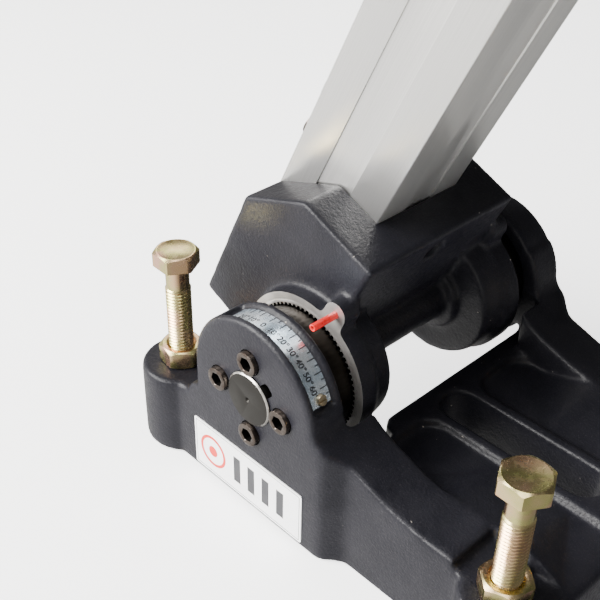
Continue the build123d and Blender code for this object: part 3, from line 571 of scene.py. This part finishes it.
PAINT = cast_paint("cast_paint", 1.0)
PAINT_SMOOTH = cast_paint("housing_paint", 0.7)
ANODISED = brushed_aluminium()
HUB_SILVER = turned_metal("hub_face_metal", (0.68, 0.66, 0.635), 0.42, 0.5, metallic=0.9, spread=0.2)
# dark steel for the ring's teeth, painted shade in the gap between ring and disc
RING_STEEL_AND_GAP_SHADE = turned_metal("toothed_ring_gap_shade", (0.05, 0.047, 0.043), 0.42, 0.5)
DISC_STEEL = turned_metal("index_disc_steel", (0.024, 0.021, 0.018), 0.4, 0.6)
SHAFT_STEEL = turned_metal("shaft_steel", (0.026, 0.0245, 0.022), 0.42, 0.3, metallic=0.85)
# bright steel; on the shaft's rim it is a painted highlight
BRIGHT_STEEL_AND_RIM_HIGHLIGHT = plain_metal("bright_steel_and_rim_highlight", (0.62, 0.60, 0.57), 0.28)
KEY_STEEL = plain_metal("key_steel", (0.03, 0.028, 0.026), 0.5)
SCREW_STEEL = plain_metal("blackened_screw", (0.12, 0.10, 0.088), 0.28, dirt=(0.06, 0.042, 0.033))
# painted shade: the darker steel inside the screws' sockets stands in for the shade in the recess
SOCKET_PAINTED_SHADE = plain_metal("socket_painted_shade", (0.022, 0.020, 0.018), 0.5)
ZINC_GOLD = yellow_zinc()
ZINC = plain_metal("bright_zinc", (0.62, 0.61, 0.58), 0.28, spread=0.12)
GOLD_SCREW = plain_metal("scale_screw_zinc", (0.66, 0.55, 0.38), 0.3, spread=0.2)
RACK_STEEL = plain_metal("rack_steel", (0.30, 0.30, 0.295), 0.36, 0.2, 200, dirt=(0.10, 0.075, 0.05))
BRONZE = plain_metal("bush_bronze", (0.56, 0.37, 0.17), 0.36, spread=0.2)
COLLAR_ALLOY = plain_metal("collar_alloy", (0.58, 0.58, 0.57), 0.38, spread=0.1, grain=120, bump=0.2)
RED = moulded("pointer_red", (0.62, 0.012, 0.010), 0.28, grain=500, spread=0.12)
BLACK = moulded("black_plastic", (0.018, 0.018, 0.019), 0.45)
PAD = moulded("guide_pad_plastic", (0.05, 0.05, 0.048), 0.5, grain=500)
PLATE_WHITE = moulded("plate_white", (0.92, 0.92, 0.93), 0.34, grain=300, spread=0.03, strength=0.05)
PLATE_RED = moulded("plate_red", (0.70, 0.03, 0.02), 0.4, grain=300, spread=0.05, strength=0.05)
PLATE_GREY = moulded("plate_grey", (0.045, 0.045, 0.05), 0.4, grain=300, spread=0.1, strength=0.05)
FOIL = foil()
PRINT = moulded("scale_print", (0.012, 0.012, 0.014), 0.4, grain=400, spread=0.2)


# ---------------------------------------------------------------- the two castings
# sizes in mm; a depth is measured in from the near ear's outer face
WIDTH = 200  # outer face to outer face of the ears
EAR = 22  # ear thickness
SHAFT_HEAD = 15  # radius of the tilt shaft's end
HUB_DEPTH = 36.5  # of the near hub's face
HUB_RADIUS = 42
RING_RADIUS = 38  # of the pocket that holds the toothed ring
RING_DEPTH = 44  # of that pocket's floor
LUG_HEIGHT = 48.6  # of the pointer's lug, up from the tilt axis
LUG_RADIUS = 6.5
LUG_SHIFT = -0.5  # of the lug, square off the column
BUSH_RADIUS = 13
SCREW_CIRCLE = 22.5  # radius of the circle of the index disc's screws
SCREW_ANGLES = (0, 90, 180, 270)
SEAT_RADIUS = 7  # of the seats that the screws' heads are sunk in
SEAT_DEPTH = 5.25
PAST = 2  # how far a cutter runs out past the metal
GAP = 0.02  # how much wider a bore in the head is than the part in it
COLUMN_SIDES = (69.85, 130.15)  # depths of the channel's two walls
COLUMN_HOLE = 6.1  # radius of the hole for the bolt through the column
COLUMN_HOLE_HEIGHT = 62.5  # up the column from the tilt axis


def prism(outline, near_depth, far_depth, point):
    """Closed prism across the machine over an outline of (x, height)."""
    depths = (near_depth, far_depth)
    return skin([[point(x, depth, height) for x, height in outline] for depth in depths])


def key_slot(near_depth, far_depth):
    """Keyway at 45 degrees on the shaft head's rim, with rounded corners."""
    outline = []
    inner, outer = 12.5, 20.5  # distances of the slot's ends from the tilt axis
    half, corner = 3.6, 2.2  # half the slot's width, and its corners' radius
    for middle_x, middle_y, start in (
        (outer - corner, half - corner, 0),
        (inner + corner, half - corner, 90),
        (inner + corner, corner - half, 180),
        (outer - corner, corner - half, 270),
    ):
        for angle in np.radians(np.linspace(start, start + 90, 7)):
            x, y = middle_x + corner * math.cos(angle), middle_y + corner * math.sin(angle)
            outline.append(((x - y) * math.sqrt(0.5), (x + y) * math.sqrt(0.5)))
    return prism(outline, near_depth, far_depth, base_point)


def softening_off_groove(points):
    """Less softening about the scale's groove, so that it stays open."""
    x = points[:, 0] - PIVOT.x
    z = points[:, 2] - PIVOT.z
    radius = np.hypot(x, z) / MM
    depth = (points[:, 1] - NEAR_FACE) / MM
    in_groove = (radius > 37.5) & (radius < 46) & (depth > 2.5) & (depth < EAR + 1) & (z > 0)
    return np.where(in_groove, 0.2, 1.0)


def finish_base():
    """The base casting, its shaft bores, keyway and screw seats cut crisp after the softening."""
    screw_field = 31  # radius of the part of an ear that is filled while it is softened
    fillers = [across_cylinder(0, 0, screw_field, 0, EAR)]
    fillers.append(across_cylinder(0, 0, screw_field, WIDTH - EAR, WIDTH))
    piece = as_cast("base_casting", "base", fillers, 1.15, 12, softening_off_groove)
    bore = SHAFT_HEAD + 0.12
    bores = [across_cylinder(0, 0, bore, -PAST, EAR + PAST)]
    bores.append(across_cylinder(0, 0, bore, WIDTH - EAR - PAST, WIDTH + PAST))
    cut(piece, *bores)
    holes = [key_slot(-PAST, EAR - 6)]
    for angle in np.radians(SCREW_ANGLES):
        x, z = SCREW_CIRCLE * math.cos(angle), SCREW_CIRCLE * math.sin(angle)
        holes.append(across_cylinder(x, z, SEAT_RADIUS, -PAST, SEAT_DEPTH, count=48))
        holes.append(across_cylinder(x, z, SEAT_RADIUS, WIDTH - SEAT_DEPTH, WIDTH + PAST, count=48))
    cut(piece, *holes)
    smooth(piece.data, 40)
    piece.data.materials.append(PAINT)


def flat_cut(mesh, depth, sign):
    """Cut a mesh square across at a depth, drop what lies outward of it and close the end."""
    edit = bmesh.new()
    edit.from_mesh(mesh)
    geometry = edit.verts[:] + edit.edges[:] + edit.faces[:]
    plane = base_point(0, depth, 0)
    bmesh.ops.bisect_plane(edit, geom=geometry, plane_co=plane, plane_no=(0, sign, 0), clear_outer=True)
    rim = [edge for edge in edit.edges if edge.is_boundary]
    bmesh.ops.edgeloop_fill(edit, edges=rim)
    edit.to_mesh(mesh)
    edit.free()


def finish_head():
    """The head casting, its faces, channel, ring pockets and bore cut crisp after the softening."""
    far = WIDTH - HUB_DEPTH
    pocket = [(-80.5, -29.5), (-80.5, 44), (-48, 75), (-20, 76.1), (-20, -29.5)]
    fillers = [
        prism(pocket, 69, 131, head_point),  # the column's channel
        across_cylinder(0, 0, 11.5, 40, 160, head_point),  # the shaft's bore
    ]
    proud = 4  # how far the hubs are filled out past their faces
    left, right = LUG_SHIFT - LUG_RADIUS, LUG_SHIFT + LUG_RADIUS
    near_hub = (HUB_DEPTH - proud, RING_DEPTH + proud)
    far_hub = (WIDTH - RING_DEPTH - proud, far + proud)
    for start, end in (near_hub, far_hub):
        fillers.append(across_cylinder(0, 0, HUB_RADIUS, start, end, head_point))
        fillers.append(across_cylinder(LUG_SHIFT, LUG_HEIGHT, LUG_RADIUS, start, end, head_point))
        fillers.append(block((left, start, 20), (right, end, LUG_HEIGHT), head_point))
    bush_end = 66.5  # just past the depth at which the near bush ends
    for start, end in ((RING_DEPTH - PAST, bush_end), (WIDTH - bush_end, WIDTH - RING_DEPTH + PAST)):
        fillers.append(across_cylinder(0, 0, 20, start, end, head_point))
    piece = as_cast("tilt_head", "head", fillers, 1.1, 14)
    flat_cut(piece.data, HUB_DEPTH, -1)
    flat_cut(piece.data, far, 1)
    channel = [(-90, -29), (-90, 90), (-20.55, 90), (-20.55, -29)]
    cut(piece, prism(channel, *COLUMN_SIDES, head_point))
    ring = RING_RADIUS + GAP
    cut(
        piece,
        across_cylinder(0, 0, ring, HUB_DEPTH - PAST, RING_DEPTH, head_point, 144),
        across_cylinder(0, 0, ring, WIDTH - RING_DEPTH, far + PAST, head_point, 144),
    )
    near_end, far_end = RING_DEPTH - PAST, WIDTH - RING_DEPTH + PAST
    cut(piece, across_cylinder(0, 0, BUSH_RADIUS + GAP, near_end, far_end, head_point))
    hole_rings = []
    turn = axes(SQUARE, ACROSS)
    for x in (-25, 8):
        middle = head_point(x, WIDTH / 2, COLUMN_HOLE_HEIGHT)
        hole_rings.append(placed(circle_ring(COLUMN_HOLE, 0, 32), middle, turn))
    cut(piece, skin(hole_rings))
    smooth(piece.data, 40)
    piece.data.materials.append(PAINT)
    piece.data.materials.append(HUB_SILVER)
    for face in piece.data.polygons:
        depth = (face.center.y - NEAR_FACE) / MM
        if abs(face.normal.y) > 0.98 and (abs(depth - HUB_DEPTH) < 0.05 or abs(depth - far) < 0.05):
            face.material_index = 1


finish_base()
finish_head()


# ---------------------------------------------------------------- levelling bolts and jam nuts
SIDES = 72  # points in a ring
HEX = 22  # across flats, mm
CORNER = HEX / 2 / math.cos(math.pi / 6)
CHAMFER_SLOPE = math.tan(math.radians(30))
THREAD_RADIUS = 7
THREAD_DEPTH = 0.85
PITCH = 2
SHANK_RADIUS = 6.35
HEAD_HEIGHT = 9.2
NECK = 14  # plain shank under the head
NUT_HEIGHT = 11
NUT_BORE = 7.02
NUT_SEATS = {"front": -26, "rear": -27}  # tops of the bosses, from the tilt axis, mm
NUT_TURNS = {"front": -8, "rear": 20}  # degrees


def rounded_hex(turn, z, cone_radius=None, inset=0.0):
    """A hexagon's ring with its corners slightly broken; past the cone radius it drops as a chamfer."""
    ring = []
    for angle in full_turn(SIDES):
        reach = min(hex_reach(angle, HEX - 2 * inset, turn), CORNER - 0.22 - inset)
        drop = CHAMFER_SLOPE * max(0.0, reach - cone_radius) if cone_radius else 0.0
        ring.append((reach * math.cos(angle), reach * math.sin(angle), z - drop))
    return ring


def bolt_middle(name, height):
    """The point on a levelling bolt's axis at a height in metres."""
    low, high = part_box(f"levelling_bolt_{name}")
    return Vector(((low.x + high.x) / 2, (low.y + high.y) / 2, height))


def levelling_bolt(name):
    """Hexagon bolt with a cut thread, a plain neck and a head with a washer face and a shallow dish."""
    low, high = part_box(f"levelling_bolt_{name}")
    length = (high.z - low.z) / MM
    under = length - HEAD_HEIGHT
    neck = under - NECK
    turn = math.radians(-2)
    rings = [circle_ring(5.4, 0, SIDES), circle_ring(5.9, 0.6, SIDES)]
    rings += thread_rings(THREAD_RADIUS, THREAD_DEPTH, PITCH, 1.4, neck, SIDES)
    rings += [circle_ring(6.9, neck, SIDES), circle_ring(SHANK_RADIUS, neck + 0.9, SIDES)]
    rings += [circle_ring(SHANK_RADIUS, under - 0.5, SIDES), circle_ring(6.9, under, SIDES)]
    rings += [circle_ring(10.2, under, SIDES), circle_ring(10.2, under + 0.5, SIDES)]
    rings += [rounded_hex(turn, under + 0.5, inset=0.2), rounded_hex(turn, under + 0.8)]
    rings += [rounded_hex(turn, length, 10.3)]
    rings += [circle_ring(10.35, length, SIDES), circle_ring(9.7, length, SIDES)]
    rings += [circle_ring(9.3, length - 0.18, SIDES), circle_ring(0.6, length - 0.18, SIDES)]
    points, faces = skin(rings)
    upright = placed(points, bolt_middle(name, low.z), axes(UP, REAR))
    mesh = mesh_from(f"levelling_bolt_{name}_mesh", upright, faces)
    mesh.materials.append(ZINC_GOLD)
    new_object(f"threaded_bolt_{name}", mesh, f"{name}_bolt", "yellow_zinc", f"levelling_bolt_{name}")


def jam_nut(middle, turn):
    """Hexagon nut chamfered on both faces, standing on a point; the turn is in degrees."""
    turn = math.radians(turn)
    rings = [
        circle_ring(NUT_BORE, 0.8, SIDES),
        circle_ring(7.9, 0, SIDES),
        circle_ring(10.2, 0, SIDES),
        [(x, y, -z) for x, y, z in rounded_hex(turn, 0, 10.2)],
        rounded_hex(turn, NUT_HEIGHT, 10.2),
        circle_ring(10.25, NUT_HEIGHT, SIDES),
        circle_ring(8.3, NUT_HEIGHT, SIDES),
        circle_ring(7.9, NUT_HEIGHT - 0.15, SIDES),
        circle_ring(NUT_BORE, NUT_HEIGHT - 0.9, SIDES),
    ]
    points, faces = skin(rings, False, False)
    last = (len(rings) - 1) * SIDES
    faces += [(last + i, last + (i + 1) % SIDES, (i + 1) % SIDES, i) for i in range(SIDES)]
    return placed(points, middle, axes(UP, REAR)), faces


nut_parts = []
for end in ("front", "rear"):
    for side in ("near", "far"):
        name = f"{end}_{side}"
        levelling_bolt(name)
        seat = bolt_middle(name, PIVOT.z + NUT_SEATS[end] * MM)
        nut_parts.append(jam_nut(seat, NUT_TURNS[end]))
nut_mesh = mesh_from("jam_nut_mesh", *join_skins(*nut_parts))
nut_mesh.materials.append(ZINC_GOLD)
new_object("chamfered_jam_nuts", nut_mesh, "base", "yellow_zinc", "levelling_jam_nuts")


# ---------------------------------------------------------------- socket cap screws of the index discs
SCREW_START = 36  # depth of the screws' tips
SCREW_SIDES = 48
SCREW_SHANK = 4
SCREW_HEAD = 6.5
SHANK_LENGTH = 30.75
HEAD_LENGTH = 8
SOCKET = 3.45  # middle to flat
SOCKET_TURN = 0.2  # radians


def cap_screw(origin, turn):
    """Socket cap screw along local z, head on top, and how many of its faces precede the socket's."""
    top = SHANK_LENGTH + HEAD_LENGTH
    profile = (
        (SCREW_SHANK - 0.6, 0),
        (SCREW_SHANK, 0.6),
        (SCREW_SHANK, SHANK_LENGTH),
        (SCREW_HEAD, SHANK_LENGTH),
        (SCREW_HEAD, top - 0.7),
        (SCREW_HEAD - 0.2, top - 0.25),
        (SCREW_HEAD - 0.7, top),
        (SOCKET * 1.22, top),
    )
    rings = [circle_ring(radius, z, SCREW_SIDES) for radius, z in profile]
    rings.append(hex_ring(SOCKET * 2, SOCKET_TURN, top - 0.3, SCREW_SIDES))
    outside = (len(rings) - 1) * SCREW_SIDES
    rings.append(hex_ring(SOCKET * 2, SOCKET_TURN, top - HEAD_LENGTH * 0.6, SCREW_SIDES))
    rings.append(circle_ring(0.3, top - HEAD_LENGTH * 0.72, SCREW_SIDES))
    points, faces = skin(rings)
    return (placed(points, origin, turn), faces), outside


def disc_screws(name, side):
    """One piece of an index disc's four screws; the side is -1 for the near ear, 1 for the far ear."""
    start = SCREW_START if side < 0 else WIDTH - SCREW_START
    parts = []
    for angle in np.radians(SCREW_ANGLES):
        place = base_point(SCREW_CIRCLE * math.cos(angle), start, SCREW_CIRCLE * math.sin(angle))
        screw, outside = cap_screw(place, axes(ACROSS * side, REAR))
        parts.append(screw)
    mesh = mesh_from(f"{name}_cap_screws_mesh", *join_skins(*parts))
    mesh.materials.append(SCREW_STEEL)
    mesh.materials.append(SOCKET_PAINTED_SHADE)
    per_screw = len(parts[0][1])
    # the socket's walls and floor take the darker material, painted shade in the recess
    for index, face in enumerate(mesh.polygons):
        if outside <= index % per_screw < per_screw - 2:
            face.material_index = 1
    new_object(f"{name}_cap_screws", mesh, "base", "oiled_screw", f"{name}_disc_screws")


disc_screws("near", -1)
disc_screws("far", 1)


# ---------------------------------------------------------------- angle scale, its ticks and numbers
STRIP_RADIUS = 40.4
STRIP_THICKNESS = 0.35
STRIP_ENDS = (-35, 71)  # degrees from the top
STRIP_EDGES = (4.95, 18.45)  # depths of the strip's two edges
TICK_ANGLES = range(-30, 66, 5)
TICK_HALF = 0.36  # half a tick's width, degrees
TICK_END = 18.1  # depth at which the ticks end
LONG_TICK, SHORT_TICK = 13.1, 15.6  # depths at which they start
NUMBER_HEIGHT = 4.7
NUMBER_DEPTH = 7.6  # depth of the numbers' feet


def on_scale(angle, depth, lift=0.0):
    """A point on the scale at degrees from the top, lifted off its face by some mm."""
    radius = STRIP_RADIUS + lift
    angle = math.radians(angle)
    return base_point(radius * math.sin(angle), depth, radius * math.cos(angle))


def bent_patch(first, last, near_depth, far_depth, low, high, steps):
    """Closed patch bent round the ear between two angles, from a low to a high lift."""
    rings = []
    for angle in np.linspace(first, last, steps + 1):
        rings.append([
            on_scale(angle, near_depth, low),
            on_scale(angle, far_depth, low),
            on_scale(angle, far_depth, high),
            on_scale(angle, near_depth, high),
        ])
    return skin(rings)


def scale_strip():
    """The bent foil, a step for each degree, and the printed ticks on it."""
    strip = bent_patch(*STRIP_ENDS, *STRIP_EDGES, -STRIP_THICKNESS, 0, STRIP_ENDS[1] - STRIP_ENDS[0])
    mesh = mesh_from("scale_strip_mesh", *strip)
    outward(mesh)
    mesh.materials.append(FOIL)
    new_object("foil_scale", mesh, "base", "scale_foil", "scale_strip")
    ticks = []
    for angle in TICK_ANGLES:
        start = LONG_TICK if angle % 10 == 0 else SHORT_TICK
        ticks.append(bent_patch(angle - TICK_HALF, angle + TICK_HALF, start, TICK_END, -0.02, 0.05, 1))
    tick_mesh = mesh_from("scale_ticks_mesh", *join_skins(*ticks))
    outward(tick_mesh)
    tick_mesh.materials.append(PRINT)
    new_object("scale_ticks", tick_mesh, "base", "scale_foil")


def scale_number(text, angle):
    """A printed number wrapped on the scale: it reads rearward, its top is inboard."""
    curve = bpy.data.curves.new("number", "FONT")
    curve.body = text
    curve.size = NUMBER_HEIGHT
    curve.extrude = 0.035
    curve.offset = 0.09
    curve.align_x = "CENTER"
    letters = bpy.data.objects.new("number", curve)
    bpy.context.scene.collection.objects.link(letters)
    depsgraph = bpy.context.evaluated_depsgraph_get()
    flat = bpy.data.meshes.new_from_object(letters.evaluated_get(depsgraph))
    points = []
    for vertex in flat.vertices:
        swing = math.degrees(vertex.co.x / STRIP_RADIUS)
        points.append(on_scale(angle + swing, NUMBER_DEPTH + vertex.co.y, vertex.co.z))
    faces = [tuple(face.vertices) for face in flat.polygons]
    bpy.data.objects.remove(letters)
    return points, faces


scale_strip()
numbers = []
for angle in range(-20, 61, 10):
    numbers.append(scale_number("0" if angle == 0 else f"{abs(angle)}°", angle))
number_mesh = mesh_from("scale_numbers_mesh", *join_skins(*numbers))
number_mesh.materials.append(PRINT)
new_object("scale_numbers", number_mesh, "base", "scale_foil")


# ---------------------------------------------------------------- nameplate with plain generic art
PLATE_X, PLATE_Z = -3.5, -55.8  # the plate's middle, from the tilt axis
PLATE_THICKNESS = 0.5
ART_LOW, ART_HIGH = 0.45, 0.56  # the raised art starts inside the plate
RING_PLACE = (-26.5, 0)
BAR_PLACES = (-7, 4, 15, 26)
BAR_HALF, BAR_HALF_HEIGHT = 2.6, 8.6


def plate_points(outline, lift):
    """Points over an outline of (x, z) from the plate's middle, lifted off the ear's face."""
    return [base_point(PLATE_X + x, -lift, PLATE_Z + z) for x, z in outline]


def plate_patch(outline, low, high):
    """Raised patch on the nameplate."""
    return skin([plate_points(outline, lift) for lift in (low, high)])


def rounded_rectangle(half_x, half_z, corner):
    outline = []
    for sign_x, sign_z, start in ((1, 1, 0), (-1, 1, 90), (-1, -1, 180), (1, -1, 270)):
        for angle in np.radians(np.linspace(start, start + 90, 6)):
            outline.append((
                sign_x * (half_x - corner) + corner * math.cos(angle),
                sign_z * (half_z - corner) + corner * math.sin(angle),
            ))
    return outline


def plate_frame(outer, inner, low, high):
    """Raised frame between two outlines with equal numbers of points."""
    sides = ((inner, low), (outer, low), (outer, high), (inner, high), (inner, low))
    return skin([plate_points(outline, lift) for outline, lift in sides], False, False)


def plate_circle(radius):
    x, z = RING_PLACE
    return [(x + radius * math.cos(a), z + radius * math.sin(a)) for a in full_turn(64)]


def plate_bar(x):
    left, right = x - BAR_HALF, x + BAR_HALF
    low, high = -BAR_HALF_HEIGHT, BAR_HALF_HEIGHT
    return plate_patch([(left, low), (right, low), (right, high), (left, high)], ART_LOW, ART_HIGH)


def nameplate():
    """White plate with a thin grey border, a red ring with a dot, and four grey bars."""
    plate = plate_patch(rounded_rectangle(41.5, 16.5, 1.2), 0, PLATE_THICKNESS)
    mesh = mesh_from("nameplate_mesh", *plate)
    outward(mesh)
    mesh.materials.append(PLATE_WHITE)
    new_object("white_nameplate", mesh, "base", "label_plate", "nameplate")
    border_outer = rounded_rectangle(40.3, 15.3, 0.8)
    border = plate_frame(border_outer, rounded_rectangle(40.0, 15.0, 0.6), ART_LOW, 0.54)
    ring = plate_frame(plate_circle(10.2), plate_circle(8.4), ART_LOW, ART_HIGH)
    dot = plate_patch(plate_circle(3.4), ART_LOW, ART_HIGH)
    art = (
        ("plate_border", PLATE_GREY, [border]),
        ("plate_ring", PLATE_RED, [ring, dot]),
        ("plate_bars", PLATE_GREY, [plate_bar(x) for x in BAR_PLACES]),
    )
    for name, material, parts in art:
        art_mesh = mesh_from(f"{name}_mesh", *join_skins(*parts))
        outward(art_mesh)
        art_mesh.materials.append(material)
        new_object(name, art_mesh, "base", "label_plate")


nameplate()


# ---------------------------------------------------------------- the rest, as in CAD with edges broken
shaft = bevelled("tilt_shaft", "base", "shaft_steel", SHAFT_STEEL, 0.12)
shaft.data.materials.append(BRIGHT_STEEL_AND_RIM_HIGHLIGHT)
for face in shaft.data.polygons:  # the rim that stands proud of the ear gets bright steel, a painted highlight
    if (face.center.y - NEAR_FACE) / MM < -0.1 and abs(face.normal.y) < 0.95:
        offset = math.hypot(face.center.x - PIVOT.x, face.center.z - PIVOT.z) / MM
        if offset > 10:
            face.material_index = 1

finishes = (  # node, body, slot, material and width of the broken edge in mm
    ("near_index_disc", "base", "dark_steel", DISC_STEEL, 0.08),
    ("far_index_disc", "base", "dark_steel", DISC_STEEL, 0.08),
    ("shaft_key", "base", "dark_steel", KEY_STEEL, 0.2),
    ("shaft_washer", "base", "bright_zinc", ZINC, 0.2),
    ("shaft_nut", "base", "bright_zinc", ZINC, 0.5),
    ("scale_screw", "base", "bright_zinc", GOLD_SCREW, 0.12),
    ("near_hub_bush", "head", "bronze", BRONZE, 0.3),
    ("far_hub_bush", "head", "bronze", BRONZE, 0.3),
    ("pointer_pin", "head", "shaft_steel", BRIGHT_STEEL_AND_RIM_HIGHLIGHT, 0.1),
    ("pointer_sleeve", "head", "red_plastic", RED, 0.15),
    ("column", "head", "anodised", ANODISED, 0.3),
    ("column_through_bolt", "head", "oiled_screw", SCREW_STEEL, 0.4),
    ("column_bolt_washer", "head", "bright_zinc", ZINC, 0.2),
    ("rack", "head", "rack_steel", RACK_STEEL, 0.2),
    ("rack_screws", "head", "oiled_screw", SCREW_STEEL, 0.3),
    ("lower_travel_stop", "head", "anodised", COLLAR_ALLOY, 0.5),
    ("upper_travel_stop", "head", "anodised", COLLAR_ALLOY, 0.5),
    ("stop_screws", "head", "oiled_screw", SCREW_STEEL, 0.2),
    ("column_cap", "head", "black_plastic", BLACK, 0.6),
    ("carriage_housing", "carriage", "painted_alloy", PAINT_SMOOTH, 1.4),
    ("guide_pads", "carriage", "black_plastic", PAD, 0.2),
    ("pinion_bushes", "carriage", "bronze", BRONZE, 0.4),
    ("motor_collar", "carriage", "machined_alloy", COLLAR_ALLOY, 0.9),
    ("collar_foot_bolts", "carriage", "oiled_screw", SCREW_STEEL, 0.4),
    ("collar_clamp_bolts", "carriage", "oiled_screw", SCREW_STEEL, 0.4),
    ("pinion", "feed_pinion", "rack_steel", RACK_STEEL, 0.2),
    ("pinion_shaft", "feed_pinion", "rack_steel", RACK_STEEL, 0.2),
    ("shaft_retaining_ring", "feed_pinion", "bright_zinc", ZINC, 0.3),
    ("crank_hub", "feed_pinion", "machined_alloy", COLLAR_ALLOY, 0.5),
    ("crank_arms", "feed_pinion", "bright_zinc", ZINC, 0.3),
    ("crank_knobs", "feed_pinion", "black_plastic", BLACK, 0.3),
    ("lock_screw", "carriage_lock", "bright_zinc", ZINC, 0.3),
    ("lock_knob", "carriage_lock", "black_plastic", BLACK, 1.0),
)
for finish in finishes:
    bevelled(*finish)

# the toothed rings are turned bright with the hub's face; the rest is dark, painted shade in the gap
# between the teeth
for node in ("near_toothed_ring", "far_toothed_ring"):
    ring = bevelled(node, "head", "dark_steel", RING_STEEL_AND_GAP_SHADE, 0.06)
    ring.data.materials.append(HUB_SILVER)
    for face in ring.data.polygons:
        depth = (face.center.y - NEAR_FACE) / MM
        off_hub_face = min(abs(depth - HUB_DEPTH), abs(depth - WIDTH + HUB_DEPTH))
        if abs(face.normal.y) > 0.9 and off_hub_face < 0.1:
            face.material_index = 1


# ---------------------------------------------------------------- camera, floor and light
TURN = math.radians(45.44)  # of the camera about the vertical, from looking along +Y
RISE = math.radians(34.81)
ROLL = math.radians(1.18)
CAMERA_PLACE = Vector((0.24889, -0.34681, 0.39734))
SENSOR = 36  # mm
FOCAL_LENGTH = 60.1368  # mm


def add_camera():
    data = bpy.data.cameras.new("photo_camera")
    data.sensor_width = SENSOR
    data.lens = FOCAL_LENGTH
    data.clip_start = 0.01
    data.clip_end = 30
    camera = bpy.data.objects.new("photo_camera", data)
    bpy.context.scene.collection.objects.link(camera)
    back = Vector((math.sin(TURN) * math.cos(RISE), -math.cos(TURN) * math.cos(RISE), math.sin(RISE)))
    right = Vector((math.cos(TURN), math.sin(TURN), 0))
    up = back.cross(right)
    rolled_right = right * math.cos(ROLL) + up * math.sin(ROLL)
    rolled_up = up * math.cos(ROLL) - right * math.sin(ROLL)
    turn = Matrix((rolled_right, rolled_up, back)).transposed()
    camera.matrix_world = Matrix.Translation(CAMERA_PLACE) @ turn.to_4x4()
    bpy.context.scene.camera = camera


def area_light(name, place, target, size, power, colour=(1, 1, 1)):
    data = bpy.data.lights.new(name, "AREA")
    data.shape = "RECTANGLE"
    data.size, data.size_y = size
    data.energy = power
    data.color = colour
    light = bpy.data.objects.new(name, data)
    bpy.context.scene.collection.objects.link(light)
    light.location = place
    light.rotation_euler = (Vector(target) - Vector(place)).to_track_quat("-Z", "Y").to_euler()


WORLD_STRENGTH = 1.75
FLOOR_GLOW = 2.2
FLOOR_REACH = 6  # from the middle to each side, metres
# (place, tone) stops of the surroundings, from the far rear to the near front and from the ground up
ROUND_TONES = ((0.0, 0.10), (0.52, 0.30), (0.80, 1.0))
HEIGHT_TONES = ((0.5, 1.0), (0.62, 0.55), (0.85, 0.25))


def studio_world():
    """Soft surroundings: bright in front and on the near side, dim overhead and to the rear."""
    world = bpy.data.worlds.new("studio")
    bpy.context.scene.world = world
    world.use_nodes = True
    tree = world.node_tree
    place = tree.nodes.new("ShaderNodeTexCoord")
    factors = []
    for direction, stops in (((-0.55, -0.83, 0), ROUND_TONES), ((0, 0, 1), HEIGHT_TONES)):
        dot = tree.nodes.new("ShaderNodeVectorMath")
        dot.operation = "DOT_PRODUCT"
        dot.inputs[1].default_value = direction
        tree.links.new(place.outputs["Generated"], dot.inputs[0])
        spread = tree.nodes.new("ShaderNodeMapRange")
        spread.inputs["From Min"].default_value = -1.0
        tree.links.new(dot.outputs["Value"], spread.inputs["Value"])
        ramp = tree.nodes.new("ShaderNodeValToRGB")
        ramp.color_ramp.elements.new(0.5)
        for element, (position, tone) in zip(ramp.color_ramp.elements, stops):
            element.position = position
            element.color = (tone, tone * 0.99, tone * 0.97, 1)
        tree.links.new(spread.outputs["Result"], ramp.inputs["Fac"])
        factors.append(ramp.outputs["Color"])
    both = tree.nodes.new("ShaderNodeMix")
    both.data_type = "RGBA"
    both.blend_type = "MULTIPLY"
    both.inputs[0].default_value = 1.0
    tree.links.new(factors[0], both.inputs[6])
    tree.links.new(factors[1], both.inputs[7])
    background = tree.nodes["Background"]
    tree.links.new(both.outputs[2], background.inputs["Color"])
    background.inputs["Strength"].default_value = WORLD_STRENGTH


def add_floor():
    mesh = bpy.data.meshes.new("floor")
    corners = [(x * FLOOR_REACH, y * FLOOR_REACH, 0) for x, y in ((-1, -1), (1, -1), (1, 1), (-1, 1))]
    mesh.from_pydata(corners, [], [(0, 1, 2, 3)])
    floor = bpy.data.objects.new("floor", mesh)
    bpy.context.scene.collection.objects.link(floor)
    floor.location.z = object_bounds()[0][2] - 0.0002
    floor.visible_glossy = False  # metals and paint mirror the dim or bright surroundings instead
    look = Look("floor_pale", (0.9, 0.9, 0.9), Roughness=0.85, Specular_IOR_Level=0.1)
    look.colour(look.ramp(look.noise(3, 2), (0.3, (0.90, 0.90, 0.90)), (0.7, (0.93, 0.93, 0.93))))
    look.shader.inputs["Emission Color"].default_value = (1, 1, 1, 1)
    look.shader.inputs["Emission Strength"].default_value = FLOOR_GLOW
    mesh.materials.append(look.material)


add_camera()
area_light("near_softbox", (-0.75, -1.15, 0.75), (0, 0, 0.05), (1.3, 1.0), 80, (1, 0.985, 0.96))
area_light("top_softbox", (0.3, -0.5, 1.9), (0, 0, 0.1), (0.8, 0.8), 9)
area_light("column_strip", (-0.9, -0.9, 1.5), (0.1, 0, 0.4), (0.7, 0.7), 20)
area_light("front_card", (-0.93, 0.52, 0.76), (-0.11, -0.08, 0.12), (0.45, 0.45), 1.8, (1, 0.95, 0.88))
studio_world()
add_floor()
